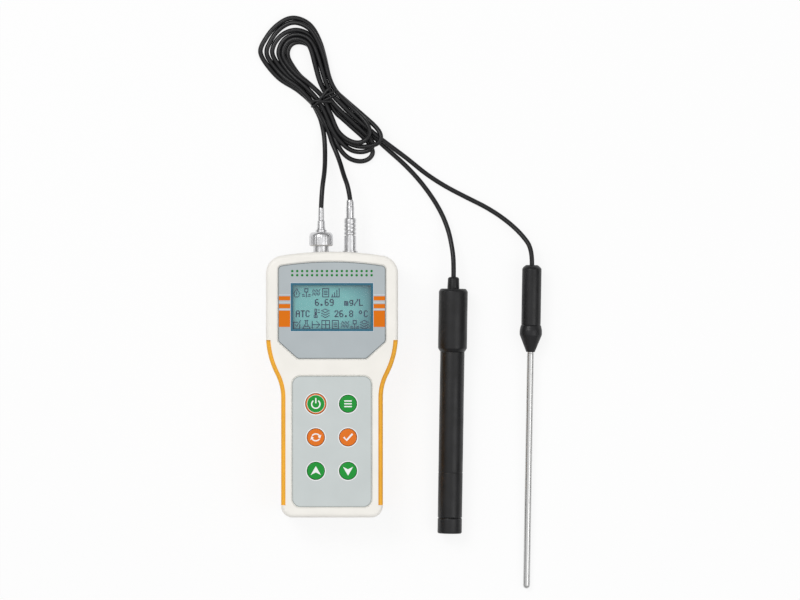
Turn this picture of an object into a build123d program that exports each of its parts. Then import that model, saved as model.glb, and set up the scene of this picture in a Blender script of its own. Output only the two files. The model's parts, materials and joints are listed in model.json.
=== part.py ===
"""Handheld dissolved-oxygen meter with its oxygen probe, temperature probe and tied cable.

Units are millimetres. The meter lies on its back: the origin is the centre of its back
face, +X is to its right, +Y towards its connectors and +Z out of its face.
"""
from build123d import *
from math import atan, cos, degrees, radians, sin, tan
import os

# ---------------------------------------------------------------- driving sizes: case
case_length = 161.0
case_thickness = 32.0
head_width = 80.0
grip_width = 61.6
shoulder_y = 30.0            # where the head starts to narrow
waist_y = -8.0               # where the narrow grip begins
shoulder_share = 0.63        # share of the narrowing that is the outward curve
top_arch_rise = 4.1          # how much the top edge bows over the head's width
top_corner_radius = 11.0
bottom_corner_radius = 7.0
parting_height = 10.0        # joint between back and front shell
wall = 2.2
front_thickness = 2.5
front_edge_radius = 2.6
back_edge_radius = 3.0

# side grips
grip_depth = 2.7
grip_top_y = 27.0
grip_bottom_y = -73.0
grip_low = 4.0
grip_high = 30.2
grip_edge_radius = 2.0
grip_step_margin = 1.5       # how far above the grip the thin head wall starts

# display
display_width = 65.0
display_top_y = 74.4
display_arch_rise = 2.7
display_bottom_y = 15.7
display_chamfer_x = 11.7
display_chamfer_y = 10.5
display_corner_radius = 2.5
recess_depth = 0.8
recess_clearance = 0.15
recess_slope = 40.0          # slope of the lip round both panels, degrees
overlay_thickness = 0.5
window_width = 50.0
window_length = 29.2
window_y = 46.9
window_ledge = 1.2
window_clearance = 0.1
lcd_margin = 3.5             # glass beyond the window, each side
lcd_glass_thickness = 2.6
lcd_frame_wall = 0.8
lcd_frame_lip = 2.4
lcd_backlight_thickness = 2.0
lcd_board_margin = 1.0
board_thickness = 1.6

# keypad
keypad_width = 48.0
keypad_top_y = 5.1
keypad_bottom_y = -74.0
keypad_corner_radius = 5.0
key_diameter = 10.5
power_key_diameter = 12.4
key_column_pitch = 19.5
key_row_pitch = 20.3
key_first_row_y = -11.6
key_clearance = 0.25
key_proud = 0.15             # how far a key stands above the overlay
key_travel = 0.5
key_flange = 1.0             # how far the flange under the panel reaches out
key_flange_thickness = 0.8
key_rest_gap = 0.1
key_stem_diameter = 4.0
dome_diameter = 8.0
dome_height = 0.7
keypad_board_thickness = 1.0
keypad_board_width = 44.0
keypad_board_depth = 4.6     # from the front plate's inside to the board's face

# inside
boss_radius = 3.2
screw_radius = 1.4
screw_clearance = 0.1
screw_head_radius = 2.6
screw_head_height = 1.8
screw_head_recess = 4.0
screw_length = 18.0
boss_bite = 0.5              # how far a boss runs into the wall beside it
head_screw_y = 60.0
grip_screw_x = 22.6
main_board_width = 56.0
main_board_top_inset = 16.5  # from the top edge
main_board_bottom_y = 8.0
main_board_height = 6.0
post_radius = 2.0
post_inset = 3.5
board_screw_radius = 0.9
board_screw_length = 5.0
board_screw_run_out = 0.4    # pilot hole beyond the screw's tip
board_screw_head_radius = 1.8
board_screw_head_height = 1.0
buzzer_radius = 6.0
buzzer_height = 5.5
seal_offset = 0.5
seal_width = 0.9
seal_height = 1.2

# battery bay and its door
battery_radius = 7.1
battery_length = 49.2
battery_nub_radius = 2.7
battery_nub_length = 1.0
battery_gap = 0.5
battery_count = 2
battery_margin = 0.6
bay_wall = 1.6
bay_top_y = -14.0
spring_space = 5.5
contact_thickness = 0.5
spring_radius = 4.0
door_thickness = 2.0
door_clearance = 0.2
door_rail = 1.2
door_rail_thickness = 0.8
door_rail_low = 0.7
door_top_y = -9.0
door_grip_slots = 5
door_slot_pitch = 2.4
door_slot_depth = 0.4
door_slot_width = 1.0
door_slot_length = 16.0

# ---------------------------------------------------------------- driving sizes: connectors
connector_height = 16.0      # axis of both connectors above the back face
bayonet_x = -6.7
jack_radius = 4.8
jack_bore_radius = 4.1
jack_reach = 10.2            # how far the jack stands out of the case
jack_flange_radius = 7.0
jack_flange_thickness = 1.6
jack_thread_radius = 4.0
jack_thread_length = 9.0
jack_hole_clearance = 0.2
jack_insulator_radius = 2.3
jack_contact_radius = 1.1
lug_radius = 1.0
lug_proud = 0.9
lug_reach = 5.9    # beyond the top edge, as the next ones are
bayonet_nut_radius = 7.25
bayonet_nut_start = 3.4
bayonet_nut_end = 11.9
bayonet_nut_bore_clearance = 0.2
lug_channel_clearance = 0.25
bayonet_turn = 75.0          # how far the nut turns between locked and free
plug_sleeve_radius = 3.9
plug_sleeve_bore = 3.2
plug_sleeve_start = 4.1
plug_shoulder_radius = 6.0
plug_shoulder_thickness = 0.8
plug_neck_radius = 3.4
washer_thickness = 0.4
crimp_radius = 2.55
crimp_start = 12.7
crimp_end = 18.8
tail_sleeve_radius = 1.9
tail_sleeve_end = 26.7
pin_radius = 0.65
bracket_thickness = 1.6
bracket_height = 22.0
bracket_foot = 12.0
nut_thickness = 2.2
nut_across = 12.0

probe_socket_x = 10.9
socket_radius = 4.6
socket_flange_radius = 6.0
socket_thread_radius = 3.6
socket_bore_radius = 3.0
push_plug_radius = 3.7
push_plug_start = 0.7
push_plug_end = 9.8
push_plug_nose_radius = 2.8
push_plug_nose_length = 5.0
push_plug_rear_radius = 2.7
sleeve_radius = 3.7
sleeve_clearance = 0.1
sleeve_start = 10.4
sleeve_end = 20.5
sleeve_travel = 1.5
sleeve_grooves = 3
sleeve_groove_pitch = 2.2
sleeve_groove_width = 0.9
sleeve_groove_depth = 0.35
collet_radius = 2.5
collet_end = 31.5

# ---------------------------------------------------------------- driving sizes: probes
oxygen_tip = (71.4, -90.9)
oxygen_yaw = -0.88
oxygen_radius = 7.4
oxygen_wall = 1.6
oxygen_tube_length = 110.4   # tip of the cap to the front of the head
oxygen_tip_chamfer = 0.6
cap_length = 9.5
cap_travel = 8.0
cap_thread_pitch = 1.0
cap_thread_radius = 5.6
cap_thread_clearance = 0.05
membrane_radius = 4.6
membrane_thickness = 0.2
electrode_radius = 3.6
cathode_radius = 2.0
cathode_length = 1.6
anode_radius = 4.4
anode_start = 9.0
anode_length = 10.0
o_ring_radius = 0.8
head_radius = 8.8
head_length = 38.6
head_front_chamfer = 2.4
head_rear_chamfer = 1.6
head_spigot_length = 14.0
relief_front_radius = 3.7
relief_rear_radius = 3.4
relief_length = 7.2
relief_ring_count = 3

rod_tip = (118.3, -124.7)
rod_yaw = -0.94
rod_radius = 2.1
rod_wall = 0.4
rod_length = 144.3           # tip to the collar's cone
rod_shank_step = 0.2         # turned down where the moulding grips it
rod_groove = 0.6             # turned-down length that shows in front of the collar
cone_length = 9.8
cone_small_radius = 2.5
bulge_radius = 6.8
bulge_length = 4.3
flare_length = 2.4
handle_radius = 5.9
handle_length = 36.5
handle_chamfer = 2.0
handle_bore_radius = 2.6
rod_seat = 14.0
sensor_radius = 1.4
sensor_length = 12.0

# ---------------------------------------------------------------- driving sizes: cables
cable_radius = 1.45
cable_floor = 1.5            # height of a cable's middle where it lies on the floor
hank_height = 8.6
eye_corner_radius = 1.2
tie_width = 4.4
tie_thickness = 0.8
tie_length = 19.4
tie_angle = 25.0
tie_place = (-4.8, 174.0)
probe_exit_run = 9.5         # straight cable behind each probe

# ---------------------------------------------------------------- what follows the top edge
case_top = case_length / 2
lug_y = case_top + lug_reach
bayonet_nut_start_y = case_top + bayonet_nut_start
bayonet_nut_end_y = case_top + bayonet_nut_end
plug_sleeve_start_y = case_top + plug_sleeve_start
crimp_start_y = case_top + crimp_start
crimp_end_y = case_top + crimp_end
tail_sleeve_end_y = case_top + tail_sleeve_end
push_plug_start_y = case_top + push_plug_start
push_plug_end_y = case_top + push_plug_end
sleeve_start_y = case_top + sleeve_start
sleeve_end_y = case_top + sleeve_end
collet_end_y = case_top + collet_end
main_board_top_y = case_top - main_board_top_inset

# Points that each free stretch of cable is led through, from the meter outwards.
oxygen_lead_points = [
    (bayonet_x, tail_sleeve_end_y, connector_height),
    (bayonet_x, 118.2, connector_height),
    (-5.3, 129.4, 10.9),
    (-4.4, 140.5, 5.0),
    (-4.9, 151.5, 2.0),
    (-6.9, 160.5, cable_floor),
]
probe_lead_points = [
    (probe_socket_x, collet_end_y, connector_height),
    (probe_socket_x, 119.6, connector_height),
    (8.9, 127.4, 11.4),
    (6.2, 134.8, 6.0),
    (3.6, 141.8, 3.0),
]
oxygen_tail_points = [
    (27.0, 149.0, 1.5),
    (34.9, 141.9, 1.5),
    (44.0, 133.9, 1.5),
    (52.6, 124.8, 1.5),
    (60.3, 114.7, 1.7),
    (66.6, 104.2, 2.6),
    (70.7, 93.8, 4.9),
    (72.8, 84.0, 7.4),
]
rod_tail_points = [
    (28.2, 150.4, 4.9),
    (36.8, 143.9, 4.6),
    (46.2, 137.0, 2.2),
    (57.0, 128.0, 1.5),
    (69.0, 120.3, 1.5),
    (82.0, 113.6, 1.5),
    (95.0, 107.2, 1.7),
    (106.8, 99.2, 2.8),
    (116.0, 90.5, 5.6),
]

# ---------------------------------------------------------------- worked out sizes
case_bottom = -case_length / 2
front_inside = case_thickness - front_thickness
panel_floor = case_thickness - recess_depth
overlay_top = panel_floor + overlay_thickness
side_inset = grip_depth + wall
head_screw_x = head_width / 2 - wall - boss_radius + boss_bite
grip_screw_y = case_bottom + side_inset + boss_radius - boss_bite
key_rows = [key_first_row_y - row * key_row_pitch for row in range(3)]
key_places = {
    "key_power": (-key_column_pitch / 2, key_rows[0]),
    "key_menu": (key_column_pitch / 2, key_rows[0]),
    "key_cycle": (-key_column_pitch / 2, key_rows[1]),
    "key_confirm": (key_column_pitch / 2, key_rows[1]),
    "key_up": (-key_column_pitch / 2, key_rows[2]),
    "key_down": (key_column_pitch / 2, key_rows[2]),
}
keypad_length = keypad_top_y - keypad_bottom_y
keypad_y = (keypad_top_y + keypad_bottom_y) / 2
keypad_board_top = front_inside - keypad_board_depth
keypad_board_length = keypad_length - 12.0
lcd_width = window_width + 2 * lcd_margin
lcd_length = window_length + 2 * lcd_margin
lcd_glass_top = front_inside - lcd_frame_wall
lcd_glass_bottom = lcd_glass_top - lcd_glass_thickness
lcd_backlight_bottom = lcd_glass_bottom - lcd_backlight_thickness
lcd_board_top = lcd_backlight_bottom
lcd_board_bottom = lcd_board_top - board_thickness
lcd_board_width = lcd_width + 2 * lcd_frame_wall + 2 * lcd_board_margin
lcd_board_length = lcd_length + 2 * lcd_frame_wall + 2 * post_radius * 2
main_board_top = main_board_height + board_thickness
main_pilot_start = main_board_top - board_screw_length - board_screw_run_out
bay_width = battery_count * 2 * battery_radius + (battery_count + 1) * battery_gap
bay_length = battery_length + battery_nub_length + spring_space + 2 * contact_thickness
bay_bottom_y = bay_top_y - bay_length
bay_ceiling = door_thickness + 2 * battery_radius + 2 * battery_margin
battery_height = door_thickness + battery_margin + battery_radius
battery_pitch = 2 * battery_radius + battery_gap
door_width = bay_width + 1.0


def power_or_plain(name):
    """Diameter of a key."""
    return power_key_diameter if name == "key_power" else key_diameter


# ---------------------------------------------------------------- shared shapes
def case_outline():
    """Outline of the meter seen from the front, as one face."""
    head = head_width / 2
    grip = grip_width / 2
    narrowing = shoulder_y - waist_y
    turn = 2 * atan((head - grip) / narrowing)
    outward = shoulder_share * narrowing / sin(turn)
    mid_x = head - outward * (1 - cos(turn))
    mid_y = shoulder_y - shoulder_share * narrowing
    inward = (1 - shoulder_share) * narrowing / sin(turn)
    inner_x = mid_x - inward * (1 - cos(turn))
    corner_y = case_top - top_arch_rise
    arch = ThreePointArc((-head, corner_y), (0, case_top), (head, corner_y))
    half_turn = turn / 2
    right_bend = ThreePointArc(
        (head, shoulder_y),
        (head - outward * (1 - cos(half_turn)), shoulder_y - outward * sin(half_turn)),
        (mid_x, mid_y),
    )
    right_waist = ThreePointArc(
        (mid_x, mid_y),
        (inner_x + inward * (1 - cos(half_turn)), waist_y + inward * sin(half_turn)),
        (inner_x, waist_y),
    )
    right = [
        Line((head, corner_y), (head, shoulder_y)),
        right_bend,
        right_waist,
        Line((inner_x, waist_y), (inner_x, case_bottom)),
    ]
    left = [mirror(edge, about=Plane.YZ) for edge in right]
    base = Line((-inner_x, case_bottom), (inner_x, case_bottom))
    face = make_face(Curve() + [arch, base] + right + left)
    face = fillet(face.vertices().group_by(Axis.Y)[-1], top_corner_radius)
    return fillet(face.vertices().group_by(Axis.Y)[0], bottom_corner_radius)


def inset_outline(amount):
    """The case outline moved inwards."""
    return offset(case_outline(), amount=-amount, kind=Kind.INTERSECTION)


def cavity_outline():
    """Inside of the walls: thin beside the head, thicker where the grips are let in."""
    head_start = grip_top_y + grip_step_margin
    head_zone = Pos(0, head_start + case_length / 2) * Rectangle(2 * head_width, case_length)
    return inset_outline(side_inset) + (inset_outline(wall) & head_zone)


def grip_band():
    """Outer strip of the outline that both side grips fill."""
    height = grip_top_y - grip_bottom_y
    zone = Pos(0, (grip_top_y + grip_bottom_y) / 2) * Rectangle(2 * head_width, height)
    return (case_outline() - inset_outline(grip_depth)) & zone


def grip_space():
    """Space that the grips take from the shells, open to the front."""
    return Pos(0, 0, grip_low) * extrude(grip_band(), case_thickness)


def display_outline():
    """Outline of the printed display panel."""
    half = display_width / 2
    corner_y = display_top_y - display_arch_rise
    low_x = half - display_chamfer_x
    side_y = display_bottom_y + display_chamfer_y
    arch = ThreePointArc((half, corner_y), (0, display_top_y), (-half, corner_y))
    rest = Polyline(
        (-half, corner_y),
        (-half, side_y),
        (-low_x, display_bottom_y),
        (low_x, display_bottom_y),
        (half, side_y),
        (half, corner_y),
    )
    face = make_face(Curve() + [arch, rest])
    return fillet(face.vertices(), display_corner_radius)


def keypad_outline():
    """Outline of the keypad panel."""
    return Pos(0, keypad_y) * RectangleRounded(keypad_width, keypad_length, keypad_corner_radius)


def window_place(width, length):
    """A rectangle centred on the display window."""
    return Pos(0, window_y) * Rectangle(width, length)


def block(width, length, low, high, x=0.0, y=0.0):
    """A box given by its size, its centre in plan and its two heights."""
    return Pos(x, y, (low + high) / 2) * Box(width, length, high - low)


def post(radius, low, high, x, y):
    """An upright cylinder between two heights."""
    return Pos(x, y, (low + high) / 2) * Cylinder(radius, high - low)


def turned(*profile):
    """A body turned about the Y axis from (radius, y) points."""
    return revolve(make_face(Polyline(*profile, close=True)), Axis.Y, 360)


def tube(outer, inner, start, end):
    """A plain tube along the Y axis."""
    return turned((inner, start), (outer, start), (outer, end), (inner, end))


def rod(radius, start, end):
    """A plain round bar along the Y axis."""
    return turned((0, start), (radius, start), (radius, end), (0, end))


def hexagon(across, bore, start, end):
    """A hexagonal nut along the Y axis."""
    outline = RegularPolygon(across / 2, 6, major_radius=False)
    body = Pos(0, start, 0) * Rot(-90, 0, 0) * extrude(outline, end - start)
    return body - rod(bore, start - 1, end + 1)


def at_bayonet(piece):
    """Move a piece turned about Y onto the bayonet connector's axis."""
    return Pos(bayonet_x, 0, connector_height) * piece


def at_probe_socket(piece):
    """Move a piece turned about Y onto the push-pull connector's axis."""
    return Pos(probe_socket_x, 0, connector_height) * piece


def mirrored_pair(piece):
    """A piece and its mirror image across the meter's middle."""
    return [piece, mirror(piece, about=Plane.YZ)]


# ---------------------------------------------------------------- case
case_screw_places = [
    (head_screw_x, head_screw_y),
    (-head_screw_x, head_screw_y),
    (grip_screw_x, grip_screw_y),
    (-grip_screw_x, grip_screw_y),
]
lcd_post_x = lcd_board_width / 2 - post_radius
lcd_post_y = lcd_board_length / 2 - post_radius
lcd_post_places = [
    (x, window_y + y) for x in (-lcd_post_x, lcd_post_x) for y in (-lcd_post_y, lcd_post_y)
]
keypad_post_x = keypad_board_width / 2 - post_radius
keypad_post_y = keypad_board_length / 2 - post_radius
keypad_post_places = [
    (x, keypad_y + y) for x in (-keypad_post_x, keypad_post_x) for y in (-keypad_post_y, keypad_post_y)
]
main_board_y = (main_board_top_y + main_board_bottom_y) / 2
main_board_length = main_board_top_y - main_board_bottom_y
main_post_x = main_board_width / 2 - post_inset
main_post_y = main_board_length / 2 - post_inset
main_post_places = [
    (x, main_board_y + y) for x in (-main_post_x, main_post_x) for y in (-main_post_y, main_post_y)
]
bay_places = [(index - (battery_count - 1) / 2) * battery_pitch for index in range(battery_count)]


def seal_band():
    """Plan of the seal that runs round the joint between the shells."""
    inner = offset(cavity_outline(), amount=seal_offset, kind=Kind.INTERSECTION)
    outer = offset(cavity_outline(), amount=seal_offset + seal_width, kind=Kind.INTERSECTION)
    return outer - inner


def seal_ring():
    """The seal, half in each shell."""
    return Pos(0, 0, parting_height - seal_height / 2) * extrude(seal_band(), seal_height)


def connector_holes(extra):
    """Bars through the top wall where the two sockets pass."""
    start = case_top - 20
    end = case_top + 20
    return [
        at_bayonet(rod(jack_radius + extra, start, end)),
        at_probe_socket(rod(socket_radius + extra, start, end)),
    ]


def front_shell():
    """Front half of the case with the panel recesses, window, key holes and bosses."""
    height = case_thickness - parting_height
    shell = Pos(0, 0, parting_height) * extrude(case_outline(), height)
    shell = fillet(shell.edges().group_by(Axis.Z)[-1], front_edge_radius)
    shell -= grip_space()
    cavity = Pos(0, 0, parting_height - 1) * extrude(cavity_outline(), front_inside - parting_height + 1)
    shell -= cavity
    for outline in (display_outline(), keypad_outline()):
        floor = Pos(0, 0, panel_floor) * offset(outline, amount=recess_clearance)
        shell -= extrude(floor, recess_depth + 0.01, taper=-recess_slope)
    ledge = window_place(window_width - 2 * window_ledge, window_length - 2 * window_ledge)
    shell -= Pos(0, 0, front_inside - 1) * extrude(ledge, case_thickness)
    for name, (x, y) in key_places.items():
        hole = power_or_plain(name) / 2 + key_clearance
        shell -= post(hole, front_inside - 1, case_thickness + 1, x, y)
    for x, y in case_screw_places:
        shell += post(boss_radius, parting_height, front_inside + 0.1, x, y)
    for x, y in lcd_post_places:
        shell += post(post_radius, lcd_board_top, front_inside + 0.1, x, y)
    for x, y in keypad_post_places:
        shell += post(post_radius, keypad_board_top, front_inside + 0.1, x, y)
    for x, y in case_screw_places:
        shell -= post(screw_radius + screw_clearance, parting_height - 1, front_inside - 1.5, x, y)
    for x, y in lcd_post_places:
        shell -= post(board_screw_radius + screw_clearance, lcd_board_top - 1, front_inside - 0.5, x, y)
    for x, y in keypad_post_places:
        shell -= post(board_screw_radius + screw_clearance, keypad_board_top - 1, front_inside - 0.5, x, y)
    shell -= connector_holes(jack_hole_clearance)
    shell -= seal_ring()
    return shell


def door_space(extra):
    """The battery door's plate and rails, grown by a clearance."""
    length = door_top_y - case_bottom + 10
    y = door_top_y + extra - length / 2
    plate = block(door_width + 2 * extra, length, -1, door_thickness + extra / 2, y=y)
    rail_width = door_width + 2 * door_rail + 2 * extra
    rail_high = door_rail_low + door_rail_thickness + extra / 2
    rails = block(rail_width, length, door_rail_low - extra / 2, rail_high, y=y)
    return plate + rails


def case_bar(low, high):
    """The whole outline between the back face and a height, with its rounded back edge."""
    bar = extrude(case_outline(), high)
    bar = fillet(bar.edges().group_by(Axis.Z)[0], back_edge_radius)
    return bar & block(4 * head_width, 4 * case_length, low, high)


def back_shell():
    """Back half of the case with the battery bay, bosses and the door's track."""
    shell = case_bar(0, parting_height)
    shell -= grip_space()
    shell -= Pos(0, 0, wall) * extrude(cavity_outline(), parting_height)
    bay_y = bay_top_y - bay_length / 2
    outer_width = bay_width + 2 * bay_wall
    outer_length = bay_length + 2 * bay_wall
    shell += block(outer_width, outer_length, 0.5, bay_ceiling + bay_wall, y=bay_y)
    floor_width = door_width + 2 * door_rail + 4
    shell += block(floor_width, door_top_y + 4 - case_bottom - side_inset, 0.5, door_thickness + bay_wall,
                   y=(door_top_y + 4 + case_bottom + side_inset) / 2)
    for x, y in case_screw_places:
        shell += post(boss_radius, 1, parting_height, x, y)
    for x, y in main_post_places:
        shell += post(post_radius, 1, main_board_height, x, y)
    shell -= block(bay_width, bay_length, -1, bay_ceiling, y=bay_y)
    shell -= door_space(door_clearance)
    for x, y in case_screw_places:
        shell -= post(screw_head_radius + 0.2, -1, screw_head_recess, x, y)
        shell -= post(screw_radius + screw_clearance, 0, parting_height + 1, x, y)
    for x, y in main_post_places:
        shell -= post(board_screw_radius + screw_clearance, main_pilot_start, main_board_height + 1, x, y)
    shell -= seal_ring()
    return shell


def battery_door():
    """Sliding door that runs off the end of the case, with a ribbed thumb patch."""
    door = door_space(0) & case_bar(0, parting_height)
    for index in range(door_grip_slots):
        y = door_top_y - 8 - index * door_slot_pitch
        door -= block(door_slot_length, door_slot_width, -1, door_slot_depth, y=y)
    return door


def side_grip():
    """Right-hand soft grip, let into both shells."""
    right_half = Pos(head_width, 0) * Rectangle(2 * head_width, 2 * case_length)
    grip = Pos(0, 0, grip_low) * extrude(grip_band() & right_half, grip_high - grip_low)
    levels = grip.edges().group_by(Axis.Z)
    outer = [edge for edge in levels[0] + levels[-1] if on_outline(edge)]
    return fillet(outer, grip_edge_radius)


def on_outline(edge):
    """Whether an edge lies on the outside of the case."""
    middle = edge.position_at(0.5)
    probe = Vertex(middle.X, middle.Y, 0)
    outside = case_outline().face().outer_wire()
    return outside.distance_to(probe) < 0.01


def case_screws():
    """Four screws that hold the shells together from the back."""
    screws = []
    for x, y in case_screw_places:
        head = post(screw_head_radius, screw_head_recess - screw_head_height, screw_head_recess, x, y)
        shank = post(screw_radius, screw_head_recess - 0.5, screw_head_recess + screw_length, x, y)
        slot = Pos(x, y, screw_head_recess - screw_head_height) * Box(2.6, 0.7, 1.2)
        cross = Pos(x, y, screw_head_recess - screw_head_height) * Box(0.7, 2.6, 1.2)
        screws.append(head + shank - slot - cross)
    return screws


# ---------------------------------------------------------------- display
def display_overlay():
    """Printed film round the window."""
    opening = window_place(window_width + 2 * window_clearance, window_length + 2 * window_clearance)
    return Pos(0, 0, panel_floor) * extrude(display_outline() - opening, overlay_thickness)


def display_window():
    """Clear window set in the film's opening."""
    pane = window_place(window_width, window_length)
    return Pos(0, 0, panel_floor) * extrude(pane, overlay_thickness)


def lcd_glass():
    """Liquid crystal glass."""
    return Pos(0, 0, lcd_glass_bottom) * extrude(window_place(lcd_width, lcd_length), lcd_glass_thickness)


def lcd_frame():
    """Pressed frame that clamps the glass and backlight to the display board."""
    outer = window_place(lcd_width + 2 * lcd_frame_wall, lcd_length + 2 * lcd_frame_wall)
    frame = Pos(0, 0, lcd_board_top) * extrude(outer, front_inside - lcd_board_top)
    frame -= Pos(0, 0, lcd_board_top - 1) * extrude(
        window_place(lcd_width, lcd_length), lcd_glass_top - lcd_board_top + 1)
    sight = window_place(lcd_width - 2 * lcd_frame_lip, lcd_length - 2 * lcd_frame_lip)
    return frame - Pos(0, 0, lcd_board_top) * extrude(sight, case_thickness)


def lcd_backlight():
    """Light guide behind the glass."""
    return Pos(0, 0, lcd_backlight_bottom) * extrude(
        window_place(lcd_width, lcd_length), lcd_backlight_thickness)


def lcd_board():
    """Board that the display sits on, screwed to four posts."""
    board = Pos(0, 0, lcd_board_bottom) * extrude(
        window_place(lcd_board_width, lcd_board_length), board_thickness)
    for x, y in lcd_post_places:
        board -= post(board_screw_radius + screw_clearance, lcd_board_bottom - 1, lcd_board_top + 1, x, y)
    return board


# ---------------------------------------------------------------- keypad
def keypad_overlay():
    """Keypad panel film with six round openings."""
    film = Pos(0, 0, panel_floor) * extrude(keypad_outline(), overlay_thickness)
    for name, (x, y) in key_places.items():
        film -= post(power_or_plain(name) / 2 + key_clearance, panel_floor - 1, overlay_top + 1, x, y)
    return film


def key(name):
    """Round key with a shallow dished face, a flange under the panel and a stem."""
    x, y = key_places[name]
    radius = power_or_plain(name) / 2
    top = overlay_top + key_proud
    flange_top = front_inside - key_rest_gap
    flange_bottom = flange_top - key_flange_thickness
    stem_bottom = keypad_board_top + dome_height + key_travel + key_rest_gap
    cap = post(radius, flange_bottom, top, x, y)
    cap = fillet(cap.edges().group_by(Axis.Z)[-1], 0.3)
    cap += post(radius + key_flange, flange_bottom, flange_top, x, y)
    return cap + post(key_stem_diameter / 2, stem_bottom, flange_bottom, x, y)


def snap_domes():
    """Six sprung metal domes, one under each key."""
    domes = []
    for x, y in key_places.values():
        low = post(dome_diameter / 2, keypad_board_top, keypad_board_top + 0.2, x, y)
        cone = Pos(x, y, keypad_board_top + 0.2 + (dome_height - 0.2) / 2) * Cone(
            dome_diameter / 2 - 0.6, 1.5, dome_height - 0.2)
        domes.append(low + cone)
    return domes


def keypad_circuit():
    """Circuit board under the keys, screwed to four posts."""
    board = block(keypad_board_width, keypad_board_length, keypad_board_top - keypad_board_thickness,
                  keypad_board_top, y=keypad_y)
    for x, y in keypad_post_places:
        board -= post(board_screw_radius + screw_clearance, 0, case_thickness, x, y)
    return board


def keypad_ribbon():
    """Flat ribbon from the keypad circuit down to the main board."""
    ribbon_width = 16.0
    thickness = 0.3
    start_y = keypad_y + keypad_board_length / 2 - 5
    bend_y = keypad_top_y + 6
    low = main_board_top
    top = keypad_board_top - keypad_board_thickness
    bottom_run = bend_y + 8
    run = block(ribbon_width, bend_y - start_y, top - thickness, top, y=(start_y + bend_y) / 2)
    drop = block(ribbon_width, thickness, low, top, y=bend_y)
    foot = block(ribbon_width, bottom_run - bend_y, low, low + thickness, y=(bend_y + bottom_run) / 2)
    return run + drop + foot


# ---------------------------------------------------------------- electronics
def main_board():
    """Measuring board in the back shell."""
    board = block(main_board_width, main_board_length, main_board_height, main_board_top, y=main_board_y)
    for x, y in main_post_places:
        board -= post(board_screw_radius + screw_clearance, 0, case_thickness, x, y)
    return board


def board_chips():
    """Chips on the main board."""
    places = [(-14, 44, 14, 14, 1.6), (8, 25, 9, 6, 1.4), (5, 42, 7, 7, 1.2), (-14, 25, 10, 6, 1.4)]
    return [
        block(width, length, main_board_top, main_board_top + height, x, y)
        for x, y, width, length, height in places
    ]


def board_header():
    """Pin header that stacks the display board over the main board."""
    width = 30.5
    depth = 2.5
    return block(width, depth, main_board_top, lcd_board_bottom, y=window_y - lcd_length / 2 + depth)


def buzzer():
    """Round sounder on the main board."""
    x = main_board_width / 2 - buzzer_radius - 2
    y = window_y
    body = post(buzzer_radius, main_board_top, main_board_top + buzzer_height, x, y)
    return body - post(0.8, main_board_top + buzzer_height - 1, main_board_top + buzzer_height + 1, x, y)


def board_screws():
    """Small screws of the display board, keypad circuit and main board."""
    screws = []
    groups = [
        (lcd_post_places, lcd_board_bottom, 1),
        (keypad_post_places, keypad_board_top - keypad_board_thickness, 1),
        (main_post_places, main_board_top, -1),
    ]
    for places, seat, way in groups:
        for x, y in places:
            head_end = seat - way * board_screw_head_height
            tip = seat + way * board_screw_length
            head = post(board_screw_head_radius, min(seat, head_end), max(seat, head_end), x, y)
            shank = post(board_screw_radius, min(seat, tip), max(seat, tip), x, y)
            screws.append(head + shank)
    return screws


def batteries():
    """Two round cells lying side by side, one each way round."""
    cells = []
    for index, x in enumerate(bay_places):
        start = bay_bottom_y + contact_thickness + (spring_space if index % 2 else 0)
        cell = rod(battery_radius, 0, battery_length)
        nub = rod(battery_nub_radius, battery_length - 0.5, battery_length + battery_nub_length)
        cell = fillet(cell.edges(), 0.5) + nub
        if index % 2 == 0:
            cell = Pos(0, battery_length + battery_nub_length, 0) * Rot(0, 0, 180) * cell
        cells.append(Pos(x, start, battery_height) * cell)
    return cells


def battery_contacts():
    """Contact plates at both ends of the bay, with a conical spring behind each flat end."""
    height = 10.0
    low = battery_height - height / 2
    spring = turned((0, 0), (spring_radius, 0), (spring_radius * 0.6, spring_space), (0, spring_space))
    width = battery_pitch - 2
    front_y = bay_bottom_y + contact_thickness / 2
    rear_y = bay_top_y - contact_thickness / 2
    contacts = []
    for index, x in enumerate(bay_places):
        front = block(width, contact_thickness, low, low + height, x, front_y)
        rear = block(width, contact_thickness, low, low + height, x, rear_y)
        if index % 2:
            front += Pos(x, bay_bottom_y + contact_thickness, battery_height) * spring
        else:
            rear += Pos(x, bay_top_y - contact_thickness, battery_height) * Rot(0, 0, 180) * spring
        contacts += [front, rear]
    return contacts


# ---------------------------------------------------------------- bayonet connector
wall_inside_y = case_top - wall
socket_wall_y = wall_inside_y - 1.0     # inner face behind both sockets, clear of the arch
bracket_front_y = socket_wall_y - jack_flange_thickness
bracket_back_y = bracket_front_y - bracket_thickness
nut_back_y = bracket_back_y - nut_thickness
jack_end_y = case_top + jack_reach


def socket_bracket():
    """Metal angle on the main board that carries both sockets."""
    low_x = bayonet_x - jack_flange_radius - 2
    high_x = probe_socket_x + socket_flange_radius + 2
    x = (low_x + high_x) / 2
    y = (bracket_front_y + bracket_back_y) / 2
    upright = block(high_x - low_x, bracket_thickness, main_board_top, bracket_height, x, y)
    foot_y = bracket_front_y - bracket_foot / 2 - 2
    foot = block(high_x - low_x, bracket_foot + 4, main_board_top, main_board_top + 1.2, x, foot_y)
    angle = upright + foot
    angle -= at_bayonet(rod(jack_thread_radius + screw_clearance, nut_back_y, socket_wall_y + 2))
    angle -= at_probe_socket(rod(socket_thread_radius + screw_clearance, nut_back_y, socket_wall_y + 2))
    return angle


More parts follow.
